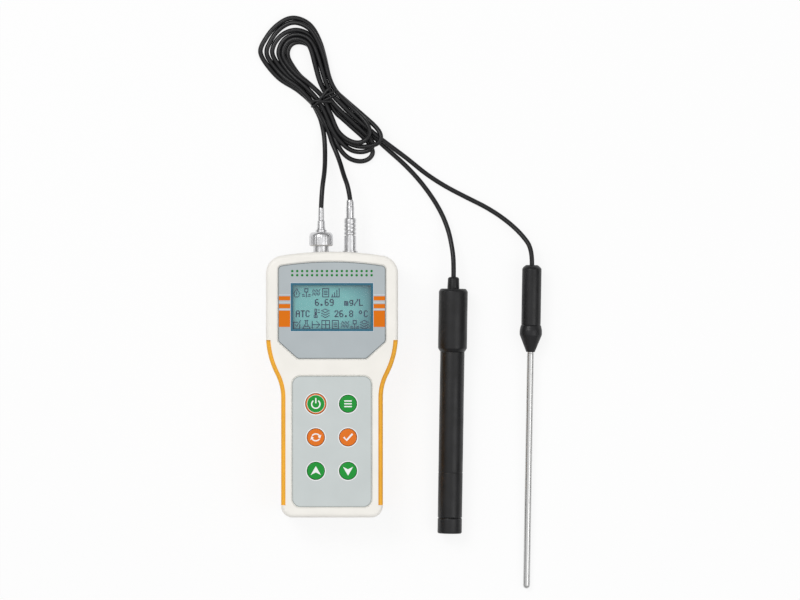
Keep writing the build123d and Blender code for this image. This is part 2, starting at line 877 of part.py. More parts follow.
def bnc_jack():
    """Panel jack with two bayonet lugs."""
    thread_end = bracket_back_y - jack_thread_length + nut_thickness
    body = turned(
        (jack_insulator_radius, thread_end),
        (jack_thread_radius, thread_end),
        (jack_thread_radius, bracket_front_y),
        (jack_flange_radius, bracket_front_y),
        (jack_flange_radius, socket_wall_y),
        (jack_radius, socket_wall_y),
        (jack_radius, jack_end_y),
        (jack_bore_radius, jack_end_y),
        (jack_bore_radius, case_top - 1),
        (jack_insulator_radius, case_top - 1),
    )
    lug = Cylinder(lug_radius, jack_radius + lug_proud, align=(Align.CENTER, Align.CENTER, Align.MIN))
    lugs = Pos(0, lug_y, 0) * lug + Pos(0, lug_y, 0) * Rot(0, 180, 0) * lug
    lugs -= rod(jack_bore_radius + 0.2, lug_y - 5, lug_y + 5)
    return at_bayonet(body + lugs)


def bnc_jack_nut():
    """Hexagonal nut behind the bracket."""
    return at_bayonet(hexagon(nut_across, jack_thread_radius, nut_back_y, bracket_back_y))


def bnc_jack_insulator():
    """White insulator in the jack."""
    start = bracket_back_y - jack_thread_length + nut_thickness
    return at_bayonet(tube(jack_insulator_radius, jack_contact_radius, start, jack_end_y - 1.5))


def bnc_jack_contact():
    """Centre contact of the jack, bored for the plug's pin."""
    start = bracket_back_y - jack_thread_length - 1
    contact = rod(jack_contact_radius, start, jack_end_y - 1.8)
    return at_bayonet(contact - rod(pin_radius + 0.05, jack_end_y - 6.8, jack_end_y))


def bnc_plug_body():
    """Plug body: contact sleeve inside the jack, shoulder and neck."""
    shoulder_start = jack_end_y + 0.1
    shoulder_end = shoulder_start + plug_shoulder_thickness
    body = turned(
        (plug_sleeve_bore, plug_sleeve_start_y),
        (plug_sleeve_radius, plug_sleeve_start_y),
        (plug_sleeve_radius, shoulder_start),
        (plug_shoulder_radius, shoulder_start),
        (plug_shoulder_radius, shoulder_end),
        (plug_neck_radius, shoulder_end),
        (plug_neck_radius, crimp_start_y + 0.6),
        (crimp_radius - 0.6, crimp_start_y + 0.6),
        (crimp_radius - 0.6, crimp_end_y - 1),
        (1.0, crimp_end_y - 1),
        (1.0, shoulder_start + 0.2),
        (plug_sleeve_bore, shoulder_start + 0.2),
    )
    return at_bayonet(body)


def bnc_coupling_nut():
    """Bayonet nut: entry slots, a channel that the lugs run in and a knurled rim."""
    bore = jack_radius + bayonet_nut_bore_clearance
    channel = jack_radius + lug_proud + lug_channel_clearance
    channel_start = lug_y - lug_radius - lug_channel_clearance
    channel_end = lug_y + lug_radius + lug_channel_clearance
    cavity = plug_shoulder_radius + 0.2
    shoulder_start = jack_end_y - 0.1
    lip_start = jack_end_y + 0.1 + plug_shoulder_thickness + washer_thickness + 0.1
    nut = turned(
        (bore, bayonet_nut_start_y),
        (bayonet_nut_radius - 0.5, bayonet_nut_start_y),
        (bayonet_nut_radius, bayonet_nut_start_y + 0.5),
        (bayonet_nut_radius, bayonet_nut_end_y - 0.5),
        (bayonet_nut_radius - 0.5, bayonet_nut_end_y),
        (plug_neck_radius + 0.15, bayonet_nut_end_y),
        (plug_neck_radius + 0.15, lip_start),
        (cavity, lip_start),
        (cavity, shoulder_start),
        (bore, shoulder_start),
        (bore, channel_end),
        (channel, channel_end),
        (channel, channel_start),
        (bore, channel_start),
    )
    slot_width = 2 * (lug_radius + lug_channel_clearance)
    for turn in (-bayonet_turn, 180 - bayonet_turn):
        slot = Pos(0, (bayonet_nut_start_y + lug_y) / 2 - 1, channel / 2) * Box(
            slot_width, lug_y - bayonet_nut_start_y + 2, channel)
        nut -= Rot(0, turn, 0) * slot
    flutes = 16
    for index in range(flutes):
        flute = Pos(0, bayonet_nut_end_y - 2.2, bayonet_nut_radius) * Box(0.8, 3.0, 0.9)
        nut -= Rot(0, index * 360 / flutes, 0) * flute
    return at_bayonet(nut)


def bnc_wave_washer():
    """Sprung washer between the plug's shoulder and the nut."""
    start = jack_end_y + 0.1 + plug_shoulder_thickness
    washer = tube(plug_shoulder_radius - 0.2, plug_neck_radius + 0.4, start, start + washer_thickness)
    return at_bayonet(washer)


def bnc_plug_pin():
    """Plug's centre pin, standing in the jack's contact."""
    return at_bayonet(rod(pin_radius, jack_end_y - 6.5, crimp_end_y - 2))


def bnc_plug_insulator():
    """Insulator round the plug's pin."""
    return at_bayonet(tube(1.0, pin_radius, jack_end_y + 0.4, crimp_end_y - 2))


def bnc_crimp_sleeve():
    """Crimped sleeve that grips the cable's braid, with its slim tail."""
    start = crimp_start_y + 0.6
    bore = crimp_radius - 0.6
    step = 0.3
    sleeve = turned(
        (bore, start),
        (crimp_radius, start),
        (crimp_radius, crimp_end_y - step),
        (crimp_radius - step, crimp_end_y),
        (tail_sleeve_radius, crimp_end_y),
        (tail_sleeve_radius - 0.2, tail_sleeve_end_y),
        (0, tail_sleeve_end_y),
        (0, crimp_end_y + 1),
        (bore, crimp_end_y - 0.9),
    )
    return at_bayonet(sleeve)


# ---------------------------------------------------------------- push-pull connector
def temp_socket():
    """Round socket for the temperature probe."""
    thread_end = nut_back_y - 1.5
    body = turned(
        (socket_bore_radius, thread_end),
        (socket_thread_radius, thread_end),
        (socket_thread_radius, bracket_front_y),
        (socket_flange_radius, bracket_front_y),
        (socket_flange_radius, socket_wall_y),
        (socket_radius, socket_wall_y),
        (socket_radius, push_plug_start_y - 0.1),
        (socket_bore_radius, push_plug_start_y - 0.1),
    )
    return at_probe_socket(body)


def temp_socket_nut():
    """Nut behind the bracket."""
    return at_probe_socket(hexagon(nut_across - 2, socket_thread_radius, nut_back_y, bracket_back_y))


def temp_socket_insert():
    """Insert with the socket's contacts."""
    start = nut_back_y - 1.5
    return at_probe_socket(rod(socket_bore_radius, start, push_plug_start_y - push_plug_nose_length - 0.5))


def temp_plug_body():
    """Plug body: nose in the socket, bright barrel and the rear that carries the sleeve."""
    nose_start = push_plug_start_y - push_plug_nose_length
    body = turned(
        (1.6, nose_start),
        (push_plug_nose_radius, nose_start),
        (push_plug_nose_radius, push_plug_start_y),
        (push_plug_radius, push_plug_start_y),
        (push_plug_radius, push_plug_end_y),
        (push_plug_rear_radius, push_plug_end_y),
        (push_plug_rear_radius, sleeve_end_y - 0.6),
        (1.6, sleeve_end_y - 0.6),
    )
    return at_probe_socket(body)


def temp_plug_sleeve():
    """Release sleeve that slides back, with three grip grooves."""
    sleeve = tube(sleeve_radius, push_plug_rear_radius + sleeve_clearance, sleeve_start_y, sleeve_end_y)
    middle = (sleeve_start_y + sleeve_end_y) / 2
    for index in range(sleeve_grooves):
        y = middle + (index - (sleeve_grooves - 1) / 2) * sleeve_groove_pitch
        inner = sleeve_radius - sleeve_groove_depth
        sleeve -= tube(sleeve_radius + 1, inner, y - sleeve_groove_width / 2, y + sleeve_groove_width / 2)
    return at_probe_socket(sleeve)


def temp_plug_insert():
    """Contact insert of the plug."""
    return at_probe_socket(rod(1.6, push_plug_start_y - push_plug_nose_length, sleeve_end_y - 0.6))


def temp_plug_collet():
    """Back nut that clamps the cable."""
    collet = turned(
        (0, sleeve_end_y - 0.6),
        (collet_radius, sleeve_end_y - 0.6),
        (collet_radius, collet_end_y - 1.5),
        (collet_radius - 0.8, collet_end_y),
        (0, collet_end_y),
    )
    return at_probe_socket(collet)


# ---------------------------------------------------------------- oxygen probe
head_start = oxygen_tube_length
head_contact = head_start + head_front_chamfer
oxygen_pitch = degrees(atan((head_radius - oxygen_radius) / (head_contact - oxygen_tip_chamfer)))
oxygen_tilt = radians(oxygen_pitch)
oxygen_tip_height = oxygen_radius * cos(oxygen_tilt) - oxygen_tip_chamfer * sin(oxygen_tilt)
oxygen_end = head_start + head_length + relief_length


def at_oxygen_probe(piece):
    """Lay a piece of the oxygen probe, built along Y from its tip, on the floor."""
    place = Pos(oxygen_tip[0], oxygen_tip[1], oxygen_tip_height)
    return place * Rot(0, 0, oxygen_yaw) * Rot(oxygen_pitch, 0, 0) * piece


def do_membrane_cap():
    """Screw cap that stretches the membrane over the cathode."""
    shoulder = cap_length - 0.4
    cap = turned(
        (membrane_radius, 0),
        (oxygen_radius - oxygen_tip_chamfer, 0),
        (oxygen_radius, oxygen_tip_chamfer),
        (oxygen_radius, shoulder),
        (cap_thread_radius + cap_thread_clearance, shoulder),
        (cap_thread_radius + cap_thread_clearance, 1.2),
        (membrane_radius, 1.2),
    )
    return at_oxygen_probe(cap)


def do_membrane():
    """Gas-permeable film held in the cap."""
    return at_oxygen_probe(rod(membrane_radius - 0.05, 0.5, 0.5 + membrane_thickness))


def do_probe_tube():
    """Tube that holds the electrolyte, with the cap's thread at its front."""
    seal_start = cap_length
    body = turned(
        (electrode_radius + 1.4, 2.4),
        (cap_thread_radius, 2.4),
        (cap_thread_radius, cap_length - 1.4),
        (cap_thread_radius - o_ring_radius, cap_length - 1.4),
        (cap_thread_radius - o_ring_radius, seal_start),
        (oxygen_radius, seal_start),
        (oxygen_radius, head_start),
        (oxygen_radius - oxygen_wall, head_start),
        (oxygen_radius - oxygen_wall, 24.0),
        (electrode_radius + 1.4, 22.0),
    )
    return at_oxygen_probe(body)


def do_electrode_core():
    """Insulating stem that carries both electrodes."""
    core = turned(
        (0, 1.2),
        (electrode_radius, 1.2),
        (electrode_radius, anode_start + anode_length + 6),
        (oxygen_radius - oxygen_wall, anode_start + anode_length + 6),
        (oxygen_radius - oxygen_wall, anode_start + anode_length + 12),
        (0, anode_start + anode_length + 12),
    )
    return at_oxygen_probe(core - rod(cathode_radius, 0, 1.2 + cathode_length))


def do_cathode():
    """Noble metal cathode at the tip of the stem."""
    return at_oxygen_probe(rod(cathode_radius, 0.9, 1.2 + cathode_length))


def do_anode():
    """Silver anode sleeve round the stem."""
    return at_oxygen_probe(tube(anode_radius, electrode_radius, anode_start, anode_start + anode_length))


def do_o_ring():
    """Seal between the cap and the tube."""
    inner = cap_thread_radius - o_ring_radius
    return at_oxygen_probe(tube(cap_thread_radius, inner, cap_length - 1.4, cap_length))


def do_probe_head():
    """Thick head that the tube and the cable plug into."""
    head_end = head_start + head_length
    body = turned(
        (oxygen_radius - oxygen_wall - 2, head_start - head_spigot_length),
        (oxygen_radius - oxygen_wall, head_start - head_spigot_length),
        (oxygen_radius - oxygen_wall, head_start),
        (head_radius - head_front_chamfer * 0.4, head_start),
        (head_radius, head_contact),
        (head_radius, head_end - head_rear_chamfer),
        (head_radius - head_rear_chamfer, head_end),
        (1.6, head_end),
        (1.6, head_end - 4),
        (oxygen_radius - oxygen_wall - 2, head_end - 4),
    )
    return at_oxygen_probe(body)


def do_strain_relief():
    """Ringed sleeve where the cable leaves the head."""
    start = head_start + head_length
    relief = turned(
        (1.6, start - 4),
        (1.6, start),
        (relief_front_radius, start),
        (relief_rear_radius, start + relief_length),
        (0, start + relief_length),
        (0, start - 4),
    )
    for index in range(relief_ring_count):
        y = start + (index + 1) * relief_length / (relief_ring_count + 1)
        relief -= tube(relief_front_radius + 1, relief_rear_radius - 0.5, y - 0.4, y + 0.4)
    return at_oxygen_probe(relief)


# ---------------------------------------------------------------- temperature probe
rod_shank_radius = rod_radius - rod_shank_step
cone_end = rod_length + cone_length
bulge_end = cone_end + bulge_length
collar_end = bulge_end + flare_length
rod_end = collar_end + handle_length
bulge_contact = cone_end + 0.8
rod_pitch = degrees(atan((bulge_radius - rod_radius) / (bulge_contact - rod_radius)))
rod_tip_height = rod_radius


def at_temperature_probe(piece):
    """Lay a piece of the temperature probe, built along Y from its tip, on the floor."""
    place = Pos(rod_tip[0], rod_tip[1], rod_tip_height)
    return place * Rot(0, 0, rod_yaw) * Rot(rod_pitch, 0, 0) * piece


def temp_rod():
    """Stainless tube with a domed closed end."""
    seat_end = cone_end + rod_seat
    shank_start = rod_length - rod_groove
    outer = rod(rod_radius, rod_radius, shank_start) + Pos(0, rod_radius, 0) * Sphere(rod_radius)
    outer += rod(rod_shank_radius, shank_start, seat_end)
    return at_temperature_probe(outer - rod(rod_radius - rod_wall, rod_radius, seat_end + 1))


def temp_sensor():
    """Sensing element in the tip of the rod."""
    return at_temperature_probe(rod(sensor_radius, rod_radius + 0.3, rod_radius + 0.3 + sensor_length))


def temp_collar():
    """Cone and bulge between the rod and the handle."""
    body = turned(
        (rod_shank_radius, rod_length),
        (cone_small_radius, rod_length),
        (bulge_radius - 0.3, cone_end),
        (bulge_radius, bulge_contact),
        (bulge_radius, bulge_end - 0.8),
        (handle_radius + 0.2, collar_end),
        (rod_shank_radius, collar_end),
    )
    return at_temperature_probe(body)


def temp_handle():
    """Moulded handle with a bore for the rod and the cable."""
    seat_end = cone_end + rod_seat
    body = turned(
        (rod_shank_radius, collar_end),
        (handle_radius, collar_end),
        (handle_radius, rod_end - handle_chamfer),
        (handle_radius - handle_chamfer * 0.6, rod_end),
        (0, rod_end),
        (0, rod_end - 4),
        (handle_bore_radius, rod_end - 4),
        (handle_bore_radius, seat_end + 1),
        (rod_shank_radius, seat_end + 1),
    )
    return at_temperature_probe(body)


# ---------------------------------------------------------------- cables
def corner_radii(points):
    """Largest arc at each inner point of a route that its two runs allow."""
    radii = []
    for before, here, after in zip(points, points[1:], points[2:]):
        first = Vector(*here) - Vector(*before)
        second = Vector(*after) - Vector(*here)
        half_turn = radians(first.get_angle(second)) / 2
        radii.append(0.45 * min(first.length, second.length) / tan(half_turn))
    return radii


def cable(name, points):
    """A round cable along straight runs joined by tangent arcs."""
    radii = corner_radii(points)
    path = FilletPolyline(*points, radius=radii)
    start = Plane(origin=path @ 0, z_dir=path % 0)
    solid = sweep(start * Circle(cable_radius), path=path)
    section = 3.141593 * cable_radius ** 2
    print(name, "length", round(path.length, 1), "radii", [round(radius, 1) for radius in radii],
          "volume ratio", round(solid.volume / (section * path.length), 4))
    return solid


def hank_body():
    """Outer shape of the tied figure of turns, with its upper and lower eyes."""
    outer = Spline(
        (-14.2, 170.6), (-27.9, 182.2), (-40.7, 192.6), (-45.2, 202.5), (-38.6, 214.8), (-26.5, 224.4),
        (-13.1, 219.4), (-4.6, 203.5), (2.6, 180.6), (20.3, 164.6), (31.4, 151.5), (25.6, 140.8),
        (14.6, 134.0), (2.3, 141.3), (-4.6, 154.5),
        periodic=True,
    )
    upper_eye = [
        (-22.0, 207.4), (-14.0, 205.8), (-8.4, 180.4), (-18.2, 184.9), (-26.6, 191.6), (-27.4, 201.0),
    ]
    lower_eye = [
        (-1.6, 167.2), (9.6, 156.0), (17.6, 148.6), (10.6, 148.4), (3.4, 153.0), (0.4, 159.4),
    ]
    body = extrude(make_face(outer), hank_height)
    for eye in (upper_eye, lower_eye):
        opening = make_face(Polyline(*eye, close=True))
        opening = fillet(opening.vertices(), eye_corner_radius)
        body -= Pos(0, 0, -1) * extrude(opening, hank_height + 2)
    return body - tie_band()


def tie_band():
    """Flat band round the waist of the hank."""
    height = hank_height + tie_thickness
    outer = block(tie_length, tie_width, 0, height)
    inner = block(tie_length - 2 * tie_thickness, tie_width + 2, tie_thickness, hank_height)
    return Pos(tie_place[0], tie_place[1], 0) * Rot(0, 0, tie_angle) * (outer - inner)


def on_axis(place, along):
    """Point at a distance along a probe's axis from its tip."""
    return tuple(place(Vertex(0, along, 0)).center())




def largest(piece):
    """The largest solid of a cut piece."""
    return piece.solids().sort_by(SortBy.VOLUME)[-1]


def group(pieces):
    """Several separate solids as one node."""
    return Compound(children=[solid for piece in pieces for solid in piece.solids()])


hank = hank_body()
oxygen_tail_route = oxygen_tail_points + [
    on_axis(at_oxygen_probe, oxygen_end + probe_exit_run),
    on_axis(at_oxygen_probe, oxygen_end),
]
rod_tail_route = rod_tail_points + [
    on_axis(at_temperature_probe, rod_end + probe_exit_run),
    on_axis(at_temperature_probe, rod_end),
]

nodes = {
    "front_shell": front_shell(),
    "back_shell": back_shell(),
    "battery_door": battery_door(),
    "grip_right": side_grip(),
    "grip_left": mirror(side_grip(), about=Plane.YZ),
    "case_seal": seal_ring(),
    "case_screws": group(case_screws()),
    "display_overlay": display_overlay(),
    "display_window": display_window(),
    "lcd_glass": lcd_glass(),
    "lcd_frame": lcd_frame(),
    "lcd_backlight": lcd_backlight(),
    "lcd_board": lcd_board(),
    "keypad_overlay": keypad_overlay(),
    "snap_domes": group(snap_domes()),
    "keypad_circuit": keypad_circuit(),
    "keypad_ribbon": keypad_ribbon(),
    "main_board": main_board(),
    "board_parts": group(board_chips() + [board_header(), buzzer()]),
    "board_screws": group(board_screws()),
    "batteries": group(batteries()),
    "battery_contacts": group(battery_contacts()),
    "socket_bracket": socket_bracket(),
    "bnc_jack": bnc_jack(),
    "socket_nuts": group([bnc_jack_nut(), temp_socket_nut()]),
    "bnc_insulators": group([bnc_jack_insulator(), bnc_plug_insulator()]),
    "bnc_contacts": group([bnc_jack_contact(), bnc_plug_pin()]),
    "bnc_plug_body": bnc_plug_body(),
    "bnc_coupling_nut": bnc_coupling_nut(),
    "bnc_wave_washer": bnc_wave_washer(),
    "bnc_crimp_sleeve": bnc_crimp_sleeve(),
    "temp_socket": temp_socket(),
    "temp_contact_inserts": group([temp_socket_insert(), temp_plug_insert()]),
    "temp_plug_body": temp_plug_body(),
    "temp_plug_sleeve": temp_plug_sleeve(),
    "temp_plug_collet": temp_plug_collet(),
    "do_membrane_cap": do_membrane_cap(),
    "do_membrane": do_membrane(),
    "do_probe_tube": do_probe_tube(),
    "do_electrodes": group([do_cathode(), do_anode()]),
    "do_electrode_core": do_electrode_core(),
    "do_o_ring": do_o_ring(),
    "do_probe_head": do_probe_head(),
    "do_strain_relief": do_strain_relief(),
    "temp_rod": temp_rod(),
    "temp_sensor": temp_sensor(),
    "temp_collar": temp_collar(),
    "temp_handle": temp_handle(),
    "cord_hank": hank,
    "hank_tie": tie_band(),
}
for key_name in key_places:
    nodes[key_name] = key(key_name)
cable_routes = {
    "cord_oxygen_lead": oxygen_lead_points,
    "cord_temp_lead": probe_lead_points,
    "cord_oxygen_tail": oxygen_tail_route,
    "cord_temp_tail": rod_tail_route,
}
for cable_name, route in cable_routes.items():
    nodes[cable_name] = largest(cable(cable_name, route) - hank)

os.makedirs("parts", exist_ok=True)
for name, piece in nodes.items():
    export_step(piece, os.path.join("parts", name + ".step"))
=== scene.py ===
"""Looks of a handheld dissolved-oxygen meter with two probes on one tied hank of cable.

Laid out as an add-on: each operator makes one piece or one group of like pieces around the
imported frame. Lengths are metres, in the frame's own axes: the meter lies on its back, +X to
its right, +Y towards its connectors, +Z out of its face.
"""
import json
import math

import bmesh
import bpy
import numpy as np
from bpy.props import FloatProperty, FloatVectorProperty, IntProperty, PointerProperty
from mathutils import Matrix, Vector


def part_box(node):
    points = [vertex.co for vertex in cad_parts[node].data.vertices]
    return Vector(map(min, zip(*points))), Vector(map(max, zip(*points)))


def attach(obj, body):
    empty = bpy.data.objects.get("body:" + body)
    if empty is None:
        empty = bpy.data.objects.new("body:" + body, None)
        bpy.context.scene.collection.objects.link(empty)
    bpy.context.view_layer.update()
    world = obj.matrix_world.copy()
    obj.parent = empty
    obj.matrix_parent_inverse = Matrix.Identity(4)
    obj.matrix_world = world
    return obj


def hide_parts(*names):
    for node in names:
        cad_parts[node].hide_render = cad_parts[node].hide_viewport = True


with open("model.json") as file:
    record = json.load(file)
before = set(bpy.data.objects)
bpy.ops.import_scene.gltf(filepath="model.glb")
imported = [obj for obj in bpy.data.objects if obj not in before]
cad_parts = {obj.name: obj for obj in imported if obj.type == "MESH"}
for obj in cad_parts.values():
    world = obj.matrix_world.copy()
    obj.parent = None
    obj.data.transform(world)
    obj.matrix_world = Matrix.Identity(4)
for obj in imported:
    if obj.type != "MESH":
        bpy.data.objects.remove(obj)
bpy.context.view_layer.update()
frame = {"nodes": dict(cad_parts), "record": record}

MM = 0.001

bl_info = {
    "name": "Water quality probe looks",
    "version": (1, 0, 0),
    "blender": (4, 5, 0),
    "location": "View3D > Sidebar > Probe",
    "description": "Builds the visible pieces of a dissolved-oxygen meter, its probes and cables",
    "category": "Object",
}


# ------------------------------------------------------------------ settings
class CaseSettings(bpy.types.PropertyGroup):
    """Colours of the meter's case and panels."""

    case_colour: FloatVectorProperty(
        name="Case", description="Warm white of the shells", subtype="COLOR", size=4,
        default=(0.930, 0.905, 0.850, 1.0))
    grip_colour: FloatVectorProperty(
        name="Grips", description="Amber of the soft side grips", subtype="COLOR", size=4,
        default=(0.950, 0.450, 0.020, 1.0))
    panel_colour: FloatVectorProperty(
        name="Display panel", description="Grey of the printed display panel", subtype="COLOR",
        size=4, default=(0.455, 0.500, 0.520, 1.0))
    keypad_colour: FloatVectorProperty(
        name="Keypad panel", description="Pale grey of the keypad panel", subtype="COLOR",
        size=4, default=(0.600, 0.645, 0.640, 1.0))
    stripe_colour: FloatVectorProperty(
        name="Stripes", description="Orange of the printed stripes", subtype="COLOR", size=4,
        default=(0.745, 0.175, 0.004, 1.0))
    dot_colour: FloatVectorProperty(
        name="Dots", description="Green of the printed dots", subtype="COLOR", size=4,
        default=(0.0, 0.205, 0.022, 1.0))
    key_green: FloatVectorProperty(
        name="Green keys", description="Green of four keys", subtype="COLOR", size=4,
        default=(0.004, 0.300, 0.030, 1.0))
    key_orange: FloatVectorProperty(
        name="Orange keys", description="Orange of two keys and the power ring", subtype="COLOR",
        size=4, default=(0.800, 0.175, 0.004, 1.0))


class DisplaySettings(bpy.types.PropertyGroup):
    """Liquid crystal display."""

    upper_colour: FloatVectorProperty(
        name="Lit area", description="Teal of the lit display", subtype="COLOR", size=4,
        default=(0.150, 0.440, 0.440, 1.0))
    lower_colour: FloatVectorProperty(
        name="Dim area", description="Deeper teal towards the display's edges",
        subtype="COLOR", size=4, default=(0.036, 0.155, 0.205, 1.0))
    segment_colour: FloatVectorProperty(
        name="Segments", description="Dark blue of the lit dots", subtype="COLOR", size=4,
        default=(0.010, 0.036, 0.090, 1.0))


class CableSettings(bpy.types.PropertyGroup):
    """The two cables and their tied hank."""

    diameter: FloatProperty(
        name="Diameter", description="Outside of a cable's jacket", default=0.0029,
        unit="LENGTH")
    rounds: IntProperty(
        name="Settling rounds", description="Steps in which the turns settle on each other",
        default=160)


class StageSettings(bpy.types.PropertyGroup):
    """Camera, floor and light."""

    view_width: FloatProperty(
        name="View width", description="Width of the floor that the camera sees",
        default=0.488, unit="LENGTH")
    view_centre: FloatVectorProperty(
        name="View centre", description="Point that the camera looks down on", size=2,
        default=(0.0412, 0.0512), subtype="TRANSLATION")
    camera_height: FloatProperty(
        name="Camera height", description="Height of the camera above the floor",
        default=4.0, unit="LENGTH")
    floor_colour: FloatVectorProperty(
        name="Floor", description="Near white of the floor", subtype="COLOR", size=4,
        default=(0.95, 0.95, 0.95, 1.0))


# ------------------------------------------------------------------ finishes
FINE_GRAIN = 5200.0          # grain of films and inks, in features per metre
LINE_DEPTH = 0.0000012       # depth of turning and drawing marks on metal
BRIGHT_SHIFT = 0.2           # of the display's brightest place to the left, in half widths


class Finish:
    """One procedural material, with its principled shader and shared texture space."""

    def __init__(self, name, colour, roughness, metallic=0.0, specular=0.5):
        self.material = bpy.data.materials.new(name)
        self.material.use_nodes = True
        self.nodes = self.material.node_tree.nodes
        self.links = self.material.node_tree.links
        self.shader = self.nodes["Principled BSDF"]
        self.colour = tuple(colour)
        self.roughness = roughness
        self.shader.inputs["Base Color"].default_value = self.colour
        self.shader.inputs["Roughness"].default_value = roughness
        self.shader.inputs["Metallic"].default_value = metallic
        self.shader.inputs["Specular IOR Level"].default_value = specular
        self.place = self.nodes.new("ShaderNodeTexCoord").outputs["Object"]
        self.height = None

    def node(self, kind, **settings):
        """Add a node, with sockets set by name and properties by attribute."""
        made = self.nodes.new(kind)
        for key, value in settings.items():
            if key in made.inputs:
                made.inputs[key].default_value = value
            else:
                setattr(made, key, value)
        return made

    def stretched(self, scale):
        """Texture space stretched along the axes."""
        mapping = self.node("ShaderNodeMapping")
        mapping.inputs["Scale"].default_value = scale
        self.links.new(self.place, mapping.inputs["Vector"])
        return mapping.outputs["Vector"]

    def noise(self, scale, detail=3.0, space=None):
        """Noise whose scale is in features per metre."""
        made = self.node("ShaderNodeTexNoise", Scale=scale, Detail=detail)
        self.links.new(space or self.place, made.inputs["Vector"])
        return made.outputs["Fac"]

    def between(self, value, low, high, start=0.35, end=0.65):
        """Map a 0 to 1 value onto another range."""
        made = self.node("ShaderNodeMapRange", **{
            "From Min": start, "From Max": end, "To Min": low, "To Max": high})
        self.links.new(value, made.inputs["Value"])
        return made.outputs["Result"]

    def combined(self, operation, one, other):
        """A socket's value combined with another socket's, or with a plain number."""
        made = self.node("ShaderNodeMath", operation=operation)
        self.links.new(one, made.inputs[0])
        if isinstance(other, float):
            made.inputs[1].default_value = other
        else:
            self.links.new(other, made.inputs[1])
        return made.outputs["Value"]

    def mottle(self, scale, amount, detail=4.0):
        """Vary the colour's lightness slightly."""
        mix = self.node("ShaderNodeMix", data_type="RGBA")
        dark = [channel * (1 - amount) for channel in self.colour[:3]] + [1.0]
        light = [min(1.0, channel * (1 + amount)) for channel in self.colour[:3]] + [1.0]
        mix.inputs["A"].default_value = dark
        mix.inputs["B"].default_value = light
        factor = self.between(self.noise(scale, detail), 0.0, 1.0)
        self.links.new(factor, mix.inputs["Factor"])
        self.links.new(mix.outputs["Result"], self.shader.inputs["Base Color"])
        return self

    def worn(self, scale, spread):
        """Vary the roughness, as handling does."""
        low = max(0.02, self.roughness - spread)
        value = self.between(self.noise(scale, 5.0), low, self.roughness + spread)
        self.links.new(value, self.shader.inputs["Roughness"])
        return self

    def grain(self, scale, depth, space=None, detail=2.0):
        """Fine bump from noise, its depth in metres."""
        bump = self.node("ShaderNodeBump", Strength=1.0, Distance=depth)
        self.links.new(self.noise(scale, detail, space), bump.inputs["Height"])
        if self.height is not None:
            self.links.new(self.height, bump.inputs["Normal"])
        self.height = bump.outputs["Normal"]
        self.links.new(self.height, self.shader.inputs["Normal"])
        return self


def colour_stops(ramp, stops):
    """Set a colour ramp's stops, as (position, colour) from first to last."""
    elements = ramp.color_ramp.elements
    for position, _ in stops[1:-1]:
        elements.new(position)
    for element, (position, colour) in zip(elements, stops):
        element.position = position
        element.color = colour


def moulded(name, colour, roughness=0.42, grain=0.000012, scale=2600.0, gloss=0.3):
    """Moulded or printed plastic with a fine sparked grain."""
    made = Finish(name, colour, roughness, specular=gloss)
    return made.mottle(60.0, 0.02).worn(90.0, 0.05).grain(scale, grain).material


def film(name, colour, roughness=0.40, grain=0.000004, gloss=0.3):
    """Printed film or ink: plastic with a very fine grain."""
    return moulded(name, colour, roughness, grain, FINE_GRAIN, gloss)


def plated(name, colour, roughness):
    """Bright plated metal with faint turning marks."""
    made = Finish(name, colour, roughness, metallic=1.0)
    rings = made.stretched((200.0, 9000.0, 200.0))
    return made.mottle(300.0, 0.03).worn(260.0, 0.04).grain(1.0, LINE_DEPTH, rings).material


def all_finishes():
    """Every material of the object, by its short name."""
    case = bpy.context.scene.probe_case
    display = bpy.context.scene.probe_display
    ink = 0.000005
    return {
        "case": moulded("case_plastic", case.case_colour, 0.38, 0.000010, 2200.0),
        # Painted shade: a dark teal that stands in for the shadow inside the display window's
        # recess.
        "border": film("painted_recess_shade", (0.030, 0.150, 0.225, 1.0), 0.3),
        "rim_dark": film("rim_dark", (0.14, 0.16, 0.17, 1.0)),
        "rim_pale": film("rim_pale", (0.36, 0.39, 0.385, 1.0)),
        "panel": film("panel_film", case.panel_colour, 0.46, 0.000006),
        "keypad": film("keypad_film", case.keypad_colour, 0.46, 0.000006),
        "stripe": film("stripe_ink", case.stripe_colour, 0.40, ink, 0.12),
        "dot": film("dot_ink", case.dot_colour, 0.42, ink),
        "pale_ink": film("pale_ink", (0.70, 0.73, 0.79, 1.0), 0.45, ink),
        "white_ink": film("white_ink", (0.93, 0.93, 0.93, 1.0), 0.40, ink),
        "key_green": moulded("key_green", case.key_green, 0.30, 0.000006, 3800.0),
        "key_orange": moulded("key_orange", case.key_orange, 0.30, 0.000006, 3800.0),
        "plate": plated("nickel_plate", (0.68, 0.68, 0.69, 1.0), 0.28),
        "gold": plated("gold_plate", (0.86, 0.62, 0.25, 1.0), 0.22),
        "silver": plated("silver_metal", (0.82, 0.82, 0.80, 1.0), 0.28),
        "insulator": moulded("insulator_white", (0.84, 0.84, 0.80, 1.0), 0.5),
        "chip": moulded("chip_black", (0.020, 0.020, 0.021, 1.0), 0.55),
        "segment": moulded("segment_ink", display.segment_colour, 0.35),
        "seal": moulded("seal_rubber", (0.20, 0.20, 0.21, 1.0), 0.65),
        "ribbon": moulded("ribbon_film", (0.45, 0.20, 0.03, 1.0), 0.25),
        "tie": moulded("tie_plastic", (0.014, 0.014, 0.015, 1.0), 0.34),
        "black": black_plastic(),
        "cable": cable_jacket(),
        "grip": soft_grip(case.grip_colour),
        "steel": drawn_steel(),
        "lcd": lit_display(display),
        "clear": clear_film("window_film", 0.04),
        "membrane": clear_film("membrane_film", 0.12),
        "board": circuit_board(),
        "cell": battery_wrap(),
    }


